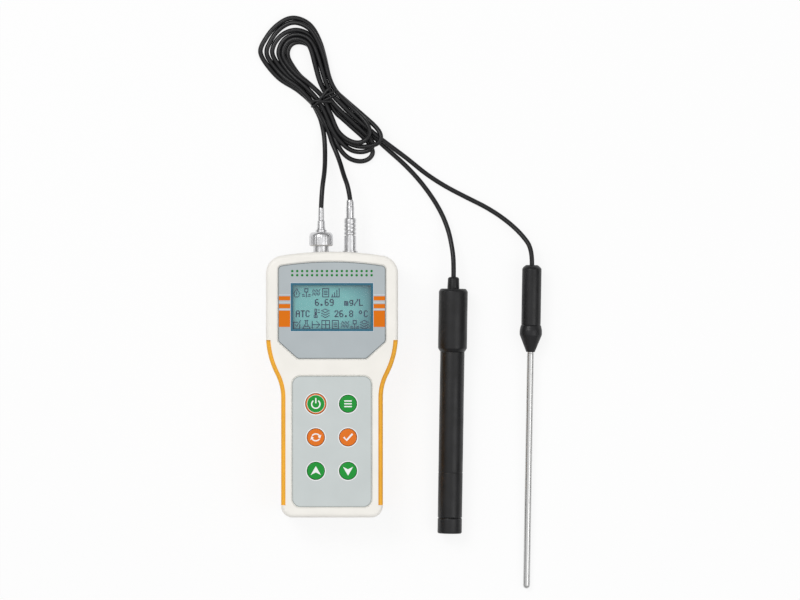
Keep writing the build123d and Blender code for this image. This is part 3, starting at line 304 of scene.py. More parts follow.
def black_plastic():
    """Black moulded plastic, a little dusty and scuffed along its length."""
    made = Finish("black_plastic", (0.009, 0.009, 0.010, 1.0), 0.40, specular=0.35)
    made.mottle(120.0, 0.25).worn(70.0, 0.08)
    scuffs = made.stretched((1500.0, 60.0, 1500.0))
    return made.grain(2400.0, 0.000012).grain(1.0, 0.000006, scuffs).material


def cable_jacket():
    """Extruded cable jacket: nearly black, satin, faintly rippled."""
    made = Finish("cable_jacket", (0.007, 0.007, 0.008, 1.0), 0.36, specular=0.38)
    return made.mottle(180.0, 0.3).worn(140.0, 0.08).grain(900.0, 0.00003).material


def soft_grip(colour):
    """Soft amber rubber with a fine matt texture."""
    made = Finish("grip_rubber", colour, 0.55)
    made.shader.inputs["Sheen Weight"].default_value = 0.08
    return made.mottle(80.0, 0.04).worn(120.0, 0.05).grain(1800.0, 0.00003).material


def drawn_steel():
    """Stainless tube, polished along its length."""
    made = Finish("drawn_steel", (0.60, 0.60, 0.595, 1.0), 0.30, metallic=1.0)
    lines = made.stretched((6000.0, 90.0, 6000.0))
    return made.mottle(500.0, 0.02).worn(200.0, 0.03).grain(1.0, LINE_DEPTH, lines).material


def circuit_board():
    """Green solder mask with a faint pattern of tracks."""
    made = Finish("board_mask", (0.02, 0.16, 0.06, 1.0), 0.35)
    tracks = made.stretched((400.0, 1200.0, 400.0))
    return made.mottle(350.0, 0.3, 1.0).grain(1.0, 0.00004, tracks, 0.0).material


def battery_wrap():
    """Printed sleeve of a cell, dark blue and glossy."""
    made = Finish("cell_wrap", (0.03, 0.07, 0.20, 1.0), 0.28)
    return made.mottle(40.0, 0.2).worn(100.0, 0.05).grain(600.0, 0.00001).material


def clear_film(name, roughness):
    """Thin clear plastic: mostly see-through, with a soft sheen on its surface."""
    made = Finish(name, (0.98, 1.0, 1.0, 1.0), roughness)
    made.shader.inputs["Alpha"].default_value = 0.03
    made.shader.inputs["IOR"].default_value = 1.49
    return made.worn(60.0, 0.02).grain(300.0, 0.000004).material


def lit_display(settings):
    """Backlit liquid crystal: bright a little left of its middle, deeper at the edges."""
    made = Finish("lcd_crystal", settings.upper_colour, 0.22)
    low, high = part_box("display_window")
    centre, half = (low + high) / 2, (high - low) / 2
    mapping = made.node("ShaderNodeMapping", vector_type="POINT")
    mapping.inputs["Location"].default_value = (
        BRIGHT_SHIFT - centre.x / half.x, -centre.y / half.y, 0.0)
    mapping.inputs["Scale"].default_value = (1 / half.x, 1 / half.y, 0.0)
    made.links.new(made.place, mapping.inputs["Vector"])
    spread = made.node("ShaderNodeVectorMath", operation="LENGTH")
    made.links.new(mapping.outputs["Vector"], spread.inputs[0])
    ramp = made.node("ShaderNodeValToRGB")
    colour_stops(ramp, ((0.35, settings.upper_colour), (1.0, settings.lower_colour)))
    shade = made.between(spread.outputs["Value"], 0.0, 1.0, 0.25, 1.5)
    made.links.new(shade, ramp.inputs["Fac"])
    made.links.new(ramp.outputs["Color"], made.shader.inputs["Base Color"])
    return made.worn(80.0, 0.03).grain(2500.0, 0.000003).material


# ------------------------------------------------------------------ mesh helpers
ON_AXIS = 1e-7               # a profile point nearer the axis than this is one vertex
PLATE_ANGLE = 25.0           # degrees above which an edge of a flat plate stays sharp
PACKED_ANGLE = 30.0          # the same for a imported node
INK = 0.00004                # how far a printed layer rises from its film, and sinks in it


def finished_object(name, mesh, finish, smooth_angle=32.0):
    """Put a mesh in the scene with one material, smooth apart from its sharp edges."""
    mesh.validate()
    mesh.materials.append(finish)
    mesh.shade_smooth()
    mesh.set_sharp_from_angle(angle=math.radians(smooth_angle))
    piece = bpy.data.objects.new(name, mesh)
    bpy.context.scene.collection.objects.link(piece)
    return piece


def built_object(name, build, finish, smooth_angle=32.0, place=None):
    """Turn a bmesh into an object of the scene, its faces outwards."""
    bmesh.ops.recalc_face_normals(build, faces=build.faces)
    if place is not None:
        build.transform(place)
    mesh = bpy.data.meshes.new(name)
    build.to_mesh(mesh)
    build.free()
    return finished_object(name, mesh, finish, smooth_angle)


def rounded(profile, radius, steps=4):
    """Round the corners of an open (radius, along) profile, except its two ends."""
    points = [Vector(point) for point in profile]
    out = [points[0]]
    for before, here, after in zip(points, points[1:], points[2:]):
        back = before - here
        ahead = after - here
        reach = min(radius, back.length * 0.45, ahead.length * 0.45)
        start = here + back.normalized() * reach
        end = here + ahead.normalized() * reach
        for step in range(steps + 1):
            t = step / steps
            out.append(start * (1 - t) ** 2 + here * (2 * t * (1 - t)) + end * t ** 2)
    out.append(points[-1])
    return out


def lathe(name, profile, finish, place, segments=96, shape=None):
    """Turn a closed (radius, along) profile about +Y, then move it by place.

    shape(angle, radius, along) may return another radius, for flutes and flats.
    """
    rings = []
    build = bmesh.new()
    for radius, along in profile:
        if radius < ON_AXIS:
            rings.append([build.verts.new((0.0, along, 0.0))])
            continue
        ring = []
        for index in range(segments):
            angle = 2 * math.pi * index / segments
            r = shape(angle, radius, along) if shape else radius
            ring.append(build.verts.new((r * math.sin(angle), along, r * math.cos(angle))))
        rings.append(ring)
    closed = len(rings[0]) > 1 or len(rings[-1]) > 1
    bridge_all(build, rings, segments, closed)
    return built_object(name, build, finish, place=place)


def bridge(build, one, two, segments):
    """Faces between two rings, either of which may be a single point."""
    if len(one) == 1 and len(two) == 1:
        return
    for index in range(segments):
        after = (index + 1) % segments
        if len(one) == 1:
            build.faces.new((one[0], two[index], two[after]))
        elif len(two) == 1:
            build.faces.new((one[index], one[after], two[0]))
        else:
            build.faces.new((one[index], two[index], two[after], one[after]))


def bridge_all(build, rings, segments, closed):
    """Faces along a row of rings, and from the last to the first where it is closed."""
    pairs = list(zip(rings, rings[1:]))
    if closed:
        pairs.append((rings[-1], rings[0]))
    for one, two in pairs:
        bridge(build, one, two, segments)


def prism(build, outline, low, high, edge=0.0):
    """A flat plate from an outline, its upper edge eased by a small slope."""
    base = [build.verts.new((x, y, low)) for x, y in outline]
    top = [build.verts.new((x, y, high)) for x, y in outline]
    build.faces.new(list(reversed(base)))
    cap = build.faces.new(top)
    count = len(outline)
    for index in range(count):
        after = (index + 1) % count
        build.faces.new((base[index], base[after], top[after], top[index]))
    if edge > 0:
        bmesh.ops.bevel(build, geom=list(cap.edges), offset=edge, segments=2, affect="EDGES")


def plate_piece(name, outlines, low, high, finish, edge=0.0):
    """One piece made of flat plates."""
    build = bmesh.new()
    for outline in outlines:
        prism(build, outline, low, high, edge)
    return built_object(name, build, finish, PLATE_ANGLE)


def circle(x, y, radius, count=40):
    """Outline of a disc."""
    angles = [2 * math.pi * i / count for i in range(count)]
    return [(x + radius * math.cos(a), y + radius * math.sin(a)) for a in angles]


def whole_ring(x, y, outer, inner):
    """Outlines of a flat ring's two halves."""
    return [ring_strip(x, y, outer, inner, start, start + 180) for start in (0, 180)]


def rectangle(x, y, width, height):
    """Outline of a rectangle about its centre."""
    w = width / 2
    h = height / 2
    return [(x - w, y - h), (x + w, y - h), (x + w, y + h), (x - w, y + h)]


def ring_strip(x, y, outer, inner, start, end, count=48):
    """Outline of part of a flat ring, from one angle to another in degrees."""
    steps = [math.radians(start + (end - start) * i / count) for i in range(count + 1)]
    out = [(x + outer * math.cos(a), y + outer * math.sin(a)) for a in steps]
    return out + [(x + inner * math.cos(a), y + inner * math.sin(a)) for a in reversed(steps)]


def carried(piece, body, slot):
    """Let a piece move with a body; its slot argument is not used."""
    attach(piece, body)


def paint(node, finish):
    """Give a CAD node its finish."""
    target = frame["nodes"][node]
    target.data.materials.clear()
    target.data.materials.append(finish)
    target.data.shade_smooth()
    target.data.set_sharp_from_angle(angle=math.radians(PACKED_ANGLE))


def mount(name):
    """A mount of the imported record."""
    return next(entry for entry in frame["record"]["mounts"] if entry["name"] == name)


def axis_place(origin, direction):
    """Matrix that moves a piece built along +Y onto an axis, keeping its top upwards."""
    y = Vector(direction).normalized()
    x = y.cross(Vector((0.0, 0.0, 1.0))).normalized()
    z = x.cross(y)
    turn = Matrix((x, y, z)).transposed().to_4x4()
    return Matrix.Translation(Vector(origin)) @ turn


def connector_place(node):
    """Matrix for pieces built along +Y on the axis of a connector's packed plug."""
    low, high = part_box(node)
    return Matrix.Translation(((low.x + high.x) / 2, 0.0, (low.z + high.z) / 2))


# ------------------------------------------------------------------ cables
# Free stretches of both cables, from the meter outwards, in millimetres.
OXYGEN_LEAD = [
    (-6.7, 107.2, 16.0), (-6.3, 118.2, 16.0), (-4.6, 129.4, 10.9), (-4.4, 140.5, 5.0),
    (-4.9, 151.5, 2.0), (-6.9, 160.5, 1.5),
]
TEMPERATURE_LEAD = [
    (10.9, 112.0, 16.0), (9.9, 119.4, 16.0), (7.0, 127.0, 11.4), (4.8, 134.6, 6.0),
    (2.2, 141.6, 3.0), (-0.4, 147.4, 1.7),
]
OXYGEN_TAIL = [
    (27.0, 149.0, 1.5), (34.9, 141.9, 1.5), (44.0, 133.9, 1.5), (52.6, 124.8, 1.5),
    (60.3, 114.7, 1.7), (66.6, 104.2, 2.6), (70.7, 93.8, 4.9), (72.8, 84.0, 7.4),
]
TEMPERATURE_TAIL = [
    (28.2, 150.4, 4.9), (36.8, 143.9, 4.6), (46.2, 137.0, 2.2), (57.0, 128.0, 1.5),
    (69.0, 120.3, 1.5), (82.0, 113.6, 1.5), (95.0, 107.2, 1.7), (106.8, 99.2, 2.8),
    (116.0, 90.5, 5.6),
]
# Outer and inner edge of the upper eye's turns, from the tie's left side round to its right.
UPPER_EYE = [
    ((-13.0, 171.0), (-6.2, 175.4)), ((-22.0, 181.0), (-13.6, 182.0)),
    ((-33.0, 189.0), (-21.5, 188.5)), ((-44.1, 202.0), (-27.0, 198.0)),
    ((-42.0, 210.0), (-26.5, 204.0)), ((-35.0, 219.0), (-24.5, 206.5)),
    ((-25.0, 224.3), (-20.5, 207.2)), ((-14.5, 220.5), (-15.5, 206.0)),
    ((-8.0, 211.0), (-13.3, 203.0)), ((-4.0, 200.0), (-11.5, 195.5)),
    ((-1.0, 187.3), (-8.8, 184.7)), ((2.5, 179.5), (-4.5, 175.5)),
]
# Share of the way from the outer to the inner edge that each pass takes at those places.
OXYGEN_PASSES = [
    (0.16, 0.13, 0.10, 0.085, 0.085, 0.09, 0.09, 0.09, 0.12, 0.16, 0.16, 0.16),
    (0.84, 0.88, 0.91, 0.91, 0.91, 0.91, 0.91, 0.91, 0.90, 0.88, 0.84, 0.84),
    (0.50, 0.50, 0.48, 0.44, 0.42, 0.46, 0.52, 0.54, 0.52, 0.50, 0.50, 0.50),
]
TEMPERATURE_PASSES = [
    (0.16, 0.20, 0.24, 0.26, 0.25, 0.20, 0.18, 0.18, 0.18, 0.17, 0.16, 0.16),
    (0.84, 0.80, 0.80, 0.80, 0.80, 0.80, 0.80, 0.80, 0.82, 0.84, 0.84, 0.84),
    (0.50, 0.55, 0.62, 0.68, 0.68, 0.68, 0.69, 0.69, 0.66, 0.58, 0.50, 0.50),
]
# The loops of the lower eye, between the tie's right side and its left.
OXYGEN_LOOPS = [
    [
        (7.0, 173.6, 1.5), (14.0, 167.6, 1.5), (21.0, 161.5, 3.0), (26.6, 156.2, 5.5),
        (29.8, 151.2, 7.4), (28.8, 146.8, 7.4), (24.0, 144.6, 6.2), (17.5, 143.9, 4.6),
        (11.0, 145.2, 3.2), (5.8, 148.2, 2.0), (2.2, 152.2, 1.5), (0.0, 157.0, 1.5),
        (-1.8, 162.0, 1.5), (-4.0, 167.2, 1.5),
    ],
    [
        (1.3, 166.2, 1.5), (6.4, 161.4, 1.5), (11.5, 156.6, 1.5), (16.8, 151.7, 1.5),
        (21.6, 146.6, 1.5), (23.9, 141.0, 1.5), (21.0, 136.9, 1.5), (15.8, 135.5, 1.6),
        (10.0, 136.8, 2.6), (5.4, 140.2, 4.6), (2.4, 144.6, 4.6), (0.2, 149.4, 3.2),
        (-1.8, 154.6, 1.6), (-3.8, 160.8, 1.5), (-6.4, 167.2, 1.5),
    ],
]
TEMPERATURE_LOOPS = [
    [
        (7.2, 172.2, 4.4), (13.0, 166.6, 4.6), (18.2, 161.4, 6.0), (21.6, 156.8, 7.6),
        (22.6, 152.4, 7.6), (20.2, 148.4, 7.0), (15.8, 146.4, 6.6), (10.6, 147.2, 5.6),
        (6.0, 149.8, 4.6), (2.4, 153.2, 4.4), (0.2, 157.6, 4.4), (-1.6, 162.4, 4.4),
        (-3.8, 167.4, 4.4),
    ],
    [
        (3.0, 168.4, 3.6), (8.3, 163.4, 3.6), (13.4, 158.6, 3.6), (18.6, 153.8, 3.8),
        (23.6, 148.6, 4.2), (24.4, 144.4, 4.2), (19.4, 141.6, 3.6), (12.8, 141.7, 2.8),
        (7.4, 144.2, 3.2), (3.4, 147.8, 4.2), (0.6, 151.6, 4.4), (-1.8, 156.4, 4.4),
        (-3.8, 161.4, 4.4), (-6.2, 167.0, 4.4),
    ],
]
# Where each cable comes in from its lead to the tie, and runs out from the tie to its tail.
OXYGEN_JOINS = (
    [(-9.3, 166.4, 1.5)],
    [(4.6, 171.2, 1.5), (10.1, 165.6, 1.5), (15.4, 160.6, 1.5), (20.8, 155.4, 1.5)],
)
TEMPERATURE_JOINS = (
    [(-1.9, 152.6, 1.6), (-4.2, 158.0, 2.6), (-6.6, 163.2, 4.2), (-9.2, 168.0, 4.4)],
    [(5.0, 171.4, 4.4), (10.4, 166.0, 4.4), (15.8, 161.0, 4.4), (21.6, 156.0, 4.6)],
)
PROBE_TIPS = {
    "oxygen_probe_tube": (0.0714, -0.0909, 0.00739),
    "temperature_rod": (0.1183, -0.1247, 0.0021),
}
OXYGEN_END = 156.2           # from the probe's tip to where the cable leaves it
TEMPERATURE_END = 197.3
EXIT_RUN = 9.5               # straight run of a cable behind its probe
TIE_CENTRE = (-4.8, 174.0)
TIE_ANGLE = 25.0
OXYGEN_LAYER = 1.5           # height at which each cable's turns start
TEMPERATURE_LAYER = 4.4
TURN_SPACING = 3.6           # between a strand's points while it settles
FIXED_SPACING = 1.0          # between the points of the leads and tails
# How the turns settle, in millimetres and points of a strand.
END_EASE = 5.0               # points over which a strand's held ends come free
LEFT_EYE = (-20.0, 8.0)      # left of here the turns sink, fully after the second length
LOWER_EYE = (150.0, 6.0)     # and below here
TIE_CLEAR = (9.0, 12.0)      # and outside this distance from the tie
WATCHED = 2.0                # samples within this many diameters are watched
RECHECK = 8                  # rounds between two looks for near samples
OWN_NEIGHBOURS = 4           # points along a strand that never push each other
PUSH, SINK, SMOOTHING = 0.6, 0.045, 0.45     # of each round
BLOCK = 200                  # samples compared at a time


def smooth_line(points, spacing):
    """Points at an even spacing along a smooth curve through the given ones."""
    ends = [2 * points[0] - points[1]] + list(points) + [2 * points[-1] - points[-2]]
    dense = []
    for a, b, c, d in zip(ends, ends[1:], ends[2:], ends[3:]):
        for step in range(12):
            t = step / 12
            dense.append(
                0.5 * (2 * b + (c - a) * t + (2 * a - 5 * b + 4 * c - d) * t * t
                       + (3 * b - a - 3 * c + d) * t ** 3))
    dense.append(points[-1])
    dense = np.array(dense)
    reach = np.concatenate([[0.0], np.cumsum(np.linalg.norm(np.diff(dense, axis=0), axis=1))])
    count = max(2, int(round(reach[-1] / spacing)))
    places = np.linspace(0.0, reach[-1], count + 1)
    return np.stack([np.interp(places, reach, dense[:, axis]) for axis in range(3)], axis=1)


def turn_points(passes, loops, joins, layer):
    """Every point of one cable's turns, before they settle on each other."""
    before, after = joins
    points = list(before)
    for index, shares in enumerate(passes):
        for (outer, inner), share in zip(UPPER_EYE, shares):
            points.append(tuple(o + (i - o) * share for o, i in zip(outer, inner)) + (layer,))
        if index < len(loops):
            points += loops[index]
    return [np.array(point, dtype=float) for point in points + list(after)]


def settle(strands, fixed, diameter, rounds):
    """Let the turns push each other apart and sink to the floor, away from the tie.

    strands are arrays of points, returned moved as new arrays; fixed are points that only push.
    """
    base = np.concatenate(strands)
    owner = np.concatenate([np.full(len(s), i) for i, s in enumerate(strands)])
    place = np.concatenate([np.arange(len(s)) for s in strands])
    count = np.array([len(s) for s in strands])[owner]
    ease = np.clip(np.minimum(place, count - 1 - place) / END_EASE, 0.0, 1.0)[:, None]
    tie = np.linalg.norm(base[:, :2] - np.array(TIE_CENTRE), axis=1)
    upper = base[:, 1] > TIE_CENTRE[1]
    left = np.clip((LEFT_EYE[0] - base[:, 0]) / LEFT_EYE[1], 0.0, 1.0) * upper
    end = np.clip((LOWER_EYE[0] - base[:, 1]) / LOWER_EYE[1], 0.0, 1.0)
    clear = np.clip((tie - TIE_CLEAR[0]) / TIE_CLEAR[1], 0.0, 1.0)
    free = (clear * np.maximum(left, end))[:, None]
    moved = np.zeros_like(base)
    inner = np.flatnonzero(place < count - 1)
    thirds = (0.0, 1 / 3, 2 / 3)
    sample_from = np.repeat(inner, len(thirds))
    sample_share = np.tile(thirds, len(inner))[:, None]
    low = diameter / 2
    for step in range(rounds):
        points = base + moved
        samples = points[sample_from] * (1 - sample_share)
        samples = samples + points[sample_from + 1] * sample_share
        if step % RECHECK == 0:
            pairs = near_pairs(samples, sample_from, owner, diameter * WATCHED)
            walls = near_fixed(samples, fixed, diameter * WATCHED)
        push = np.zeros_like(base)
        weight = np.full((len(base), 1), 1e-9)
        one, two = pairs
        shift, close = apart(samples[one], samples[two], diameter)
        spread_push(push, weight, sample_from[one], sample_share[one], shift, close)
        spread_push(push, weight, sample_from[two], sample_share[two], -shift, close)
        one, wall = walls
        shift, close = apart(samples[one], fixed[wall], diameter)
        spread_push(push, weight, sample_from[one], sample_share[one], 2 * shift, close)
        moved += PUSH * push / np.maximum(weight, 1.0) * ease
        moved[:, 2:] -= SINK * free * ease
        for strand in range(len(strands)):
            own = owner == strand
            part = moved[own]
            middle = (part[:-2] + part[2:]) / 2
            part[1:-1] += SMOOTHING * (middle - part[1:-1])
            moved[own] = part
        moved[:, 2] = np.maximum(moved[:, 2], low - base[:, 2])
    points = base + moved
    return [points[owner == strand] for strand in range(len(strands))]


def near_pairs(samples, sample_from, owner, reach):
    """Samples that come near each other and aren't neighbours on one strand."""
    one, two = [], []
    for start in range(0, len(samples), BLOCK):
        block = samples[start:start + BLOCK]
        gap = np.linalg.norm(block[:, None, :] - samples[None, :, :], axis=2)
        a, b = np.nonzero(gap < reach)
        a += start
        same = owner[sample_from[a]] == owner[sample_from[b]]
        apart_enough = np.abs(sample_from[a] - sample_from[b]) > OWN_NEIGHBOURS
        keep = (a < b) & (~same | apart_enough)
        one.append(a[keep])
        two.append(b[keep])
    return np.concatenate(one), np.concatenate(two)


def near_fixed(samples, fixed, reach):
    """Samples that come near a fixed point."""
    gap = np.linalg.norm(samples[:, None, :] - fixed[None, :, :], axis=2)
    return np.nonzero(gap < reach)


def apart(one, two, diameter):
    """How far each first point moves so that two points are a diameter apart."""
    away = one - two
    gap = np.linalg.norm(away, axis=1)
    close = gap < diameter
    away[:, 2] += np.where(np.abs(away[:, 2]) < 0.05, 0.1, 0.0)
    unit = away / np.maximum(np.linalg.norm(away, axis=1), 1e-6)[:, None]
    return unit * np.where(close, (diameter - gap) / 2, 0.0)[:, None], close


def spread_push(push, weight, first, share, shift, close):
    """Share a sample's push between the two points that it lies between."""
    near = close.astype(float)[:, None]
    np.add.at(push, first, shift * (1 - share))
    np.add.at(push, first + 1, shift * share)
    np.add.at(weight, first, near * (1 - share))
    np.add.at(weight, first + 1, near * share)


def probe_axis(node):
    """Unit vector from a probe's tip towards its cable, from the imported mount."""
    return -Vector(mount(node)["axis"]).normalized()


def cable_curve(name, points, finish, diameter):
    """A cable as one smooth open curve with a round section."""
    data = bpy.data.curves.new(name, "CURVE")
    data.dimensions = "3D"
    data.resolution_u = 6
    data.bevel_depth = diameter / 2
    data.bevel_resolution = 5
    data.use_fill_caps = True
    spline = data.splines.new("NURBS")
    spline.points.add(len(points) - 1)
    for point, place in zip(spline.points, points):
        point.co = (place[0] * MM, place[1] * MM, place[2] * MM, 1.0)
    spline.order_u = 3
    spline.use_endpoint_u = True
    data.materials.append(finish)
    piece = bpy.data.objects.new(name, data)
    bpy.context.scene.collection.objects.link(piece)
    return piece


def curve_points(piece):
    """Points along a curve's own line, without its round section."""
    bare = piece.copy()
    bare.data = piece.data.copy()
    bare.data.bevel_depth = 0.0
    mesh = bpy.data.meshes.new_from_object(bare)
    line = [tuple(vertex.co) for vertex in mesh.vertices]
    bpy.data.objects.remove(bare)
    bpy.data.meshes.remove(mesh)
    return line


def line_length(line):
    """Length of a line of points."""
    return sum((Vector(b) - Vector(a)).length for a, b in zip(line, line[1:]))


class OBJECT_OT_probe_cables(bpy.types.Operator):
    """Build both cables with their tied hank"""

    bl_idname = "object.probe_cables"
    bl_label = "Cables"

    def execute(self, context):
        settings = context.scene.probe_cables
        thick = settings.diameter / MM
        tails = [
            self.whole_tail("oxygen_probe_tube", OXYGEN_TAIL, OXYGEN_END),
            self.whole_tail("temperature_rod", TEMPERATURE_TAIL, TEMPERATURE_END),
        ]
        leads = [[np.array(p) for p in lead] for lead in (OXYGEN_LEAD, TEMPERATURE_LEAD)]
        turns = [
            turn_points(OXYGEN_PASSES, OXYGEN_LOOPS, OXYGEN_JOINS, OXYGEN_LAYER),
            turn_points(TEMPERATURE_PASSES, TEMPERATURE_LOOPS, TEMPERATURE_JOINS,
                        TEMPERATURE_LAYER),
        ]
        strands, outside = [], []
        for lead, turn, tail in zip(leads, turns, tails):
            whole = smooth_line([lead[-1]] + turn + [tail[0]], TURN_SPACING)
            strands.append(whole[1:-1])
            outside += [smooth_line(lead, FIXED_SPACING), smooth_line(tail, FIXED_SPACING)]
        fixed = np.concatenate(outside)
        settled = settle(strands, fixed, thick, settings.rounds)
        pieces = [
            cable_curve("cable_" + name, list(lead) + list(strand) + list(tail),
                        FINISHES["cable"], settings.diameter)
            for name, lead, strand, tail in zip(("oxygen", "temperature"), leads, settled, tails)
        ]
        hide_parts("cord_oxygen_lead", "cord_oxygen_tail", "cord_hank")
        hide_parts("cord_temp_lead", "cord_temp_tail")
        carried = (
            ["bnc_plug_body", "bnc_coupling_nut", "bnc_wave_washer", "bnc_crimp_sleeve"],
            ["temp_plug_body", "temp_plug_sleeve", "temp_plug_collet"],
        )
        for piece, lead, plug in zip(pieces, leads, carried):
            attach(piece, "root")
            length = round(line_length(curve_points(piece)), 3)
            print(piece.name, "length", length)
        return {"FINISHED"}

    def whole_tail(self, node, tail, end):
        """Points of a tail with its straight run into the probe."""
        tip, direction = Vector(PROBE_TIPS[node]) / MM, probe_axis(node)
        run = [tip + direction * along for along in (end + EXIT_RUN, end)]
        return [np.array(point, dtype=float) for point in tail + run]


# ------------------------------------------------------------------ tie
# Sizes of the tie's wires round the flat bundle, in millimetres.
TIE_WIRE = 0.8
WRAP_TOP, WRAP_LOW = 7.0, 0.82
WRAP_LEAN = 1.04             # how far a tilted wire moves along at its sides


class OBJECT_OT_probe_tie(bpy.types.Operator):
    """Build the twist tie round the hank's waist"""

    bl_idname = "object.probe_tie"
    bl_label = "Twist tie"

    def execute(self, context):
        turn = Matrix.Rotation(math.radians(TIE_ANGLE), 4, "Z") @ Matrix.Scale(MM, 4)
        place = Matrix.Translation((TIE_CENTRE[0] * MM, TIE_CENTRE[1] * MM, 0.0)) @ turn
        wires = [wrap(8.9, -1.0, 0.2), wrap(8.7, 1.1, 0.5), self.knot_wire(1.0),
                 self.knot_wire(-1.0)]
        build = bmesh.new()
        for points, closed in wires:
            wire_tube(build, points, TIE_WIRE, closed)
        piece = built_object("twist_tie", build, FINISHES["tie"], 60.0, place)
        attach(piece, "root")
        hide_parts("hank_tie")
        return {"FINISHED"}

    def knot_wire(self, side):
        """One end of the tie, laid across the other on top of the bundle."""
        points = [
            (-8.6, 1.9 * side, 7.0), (-7.2, 1.5 * side, 7.8),
            (-4.6, 0.5 * side, 8.4 + 0.25 * side), (-3.0, -0.5 * side, 8.5 + 0.3 * side),
            (-0.6, -1.9 * side, 8.3), (1.6, -2.9 * side, 8.1), (3.2, -3.6 * side, 8.4),
        ]
        if side < 0:
            points.append((5.6, 4.6, 8.6))
        return [Vector(point) for point in points], False


def wrap(half_width, along, tilt):
    """A wire's closed path round the flat bundle, in millimetres."""
    middle, half_height = (WRAP_TOP + WRAP_LOW) / 2, (WRAP_TOP - WRAP_LOW) / 2
    path = []
    count = 48
    for index in range(count):
        angle = 2 * math.pi * index / count
        across = math.copysign(abs(math.cos(angle)) ** 0.45, math.cos(angle))
        rise = math.copysign(abs(math.sin(angle)) ** 0.55, math.sin(angle))
        path.append(Vector((
            across * half_width, along + tilt * across * WRAP_LEAN, middle + rise * half_height)))
    return path, True


def wire_tube(build, points, radius, closed, sides=14):
    """Round wire along a path, its ends domed."""
    count = len(points)
    rings = []
    for index, point in enumerate(points):
        before = points[index - 1] if index or closed else point
        after = points[(index + 1) % count] if index + 1 < count or closed else point
        along = (after - before).normalized()
        side = along.cross(Vector((0.0, 0.13, 1.0))).normalized()
        up = side.cross(along)
        rings.append([
            build.verts.new(point + side * (radius * math.cos(a)) + up * (radius * math.sin(a)))
            for a in (2 * math.pi * i / sides for i in range(sides))
        ])
    bridge_all(build, rings, sides, closed)
    if not closed:
        for end, inner in ((0, 1), (-1, -2)):
            out = (points[end] - points[inner]).normalized() * radius * 0.6
            bridge(build, rings[end], [build.verts.new(points[end] + out)], sides)


# ------------------------------------------------------------------ keys
KEY_LOOKS = {
    "key_power": ("key_green", "power"), "key_menu": ("key_green", "menu"),
    "key_cycle": ("key_orange", "cycle"), "key_confirm": ("key_orange", "check"),
    "key_up": ("key_green", "up"), "key_down": ("key_green", "down"),
}
KEY_NOTCHES = (205.0, 335.0)
POWER_DISC = 0.84            # share of the power key inside its ring
POWER_DISC_RISE = 0.00009    # of the disc above the cap
POWER_EDGE = 0.00022         # width of the fine pale line round the disc
KEY_FLANGE = 0.001           # how far a key's flange reaches out under the panel
HALO = (0.0008, 0.0003)      # outside and inside of the ring round a key, past its cap


def thick_line(points, width):
    """Outline of a stroke through points, with square ends."""
    left, right = [], []
    for index, point in enumerate(points):
        before = Vector(points[max(index - 1, 0)])
        after = Vector(points[min(index + 1, len(points) - 1)])
        along = (after - before).normalized()
        side = Vector((-along.y, along.x)) * width / 2
        left.append(tuple(Vector(point) + side))
        right.append(tuple(Vector(point) - side))
    return left + right[::-1]


def key_symbol(kind, x, y):
    """Outlines of a key's printed sign about its middle, in metres."""
    if kind in ("up", "down"):
        flip = 1 if kind == "up" else -1
        arrow = [(0, 2.9), (3.1, -2.5), (0, -0.9), (-3.1, -2.5)]
        outlines = [[(px, py * flip) for px, py in arrow][::flip]]
    elif kind == "check":
        outlines = [thick_line([(-2.6, 0.1), (-0.9, -1.8), (2.7, 2.1)], 1.1)]
    elif kind == "menu":
        outlines = [rectangle(0, step, 4.6, 0.75) for step in (-1.7, 0, 1.7)]
    elif kind == "power":
        outlines = [ring_strip(0, -0.2, 2.9, 2.15, 125, 415), rectangle(0, 1.9, 0.75, 3.2)]
    else:
        outlines = []
        for flip in (1, -1):
            swirl = ring_strip(0, -0.3, 2.75, 2.0, 32, 148)
            for reach, angle in ((1.2, 32), (2.45, -10), (3.6, 32)):
                turn = math.radians(angle)
                swirl.append((reach * math.cos(turn), reach * math.sin(turn) - 0.3))
            outlines.append([(px * flip * 1.1, py * flip) for px, py in swirl])
    return [[(x + px * MM, y + py * MM) for px, py in outline] for outline in outlines]


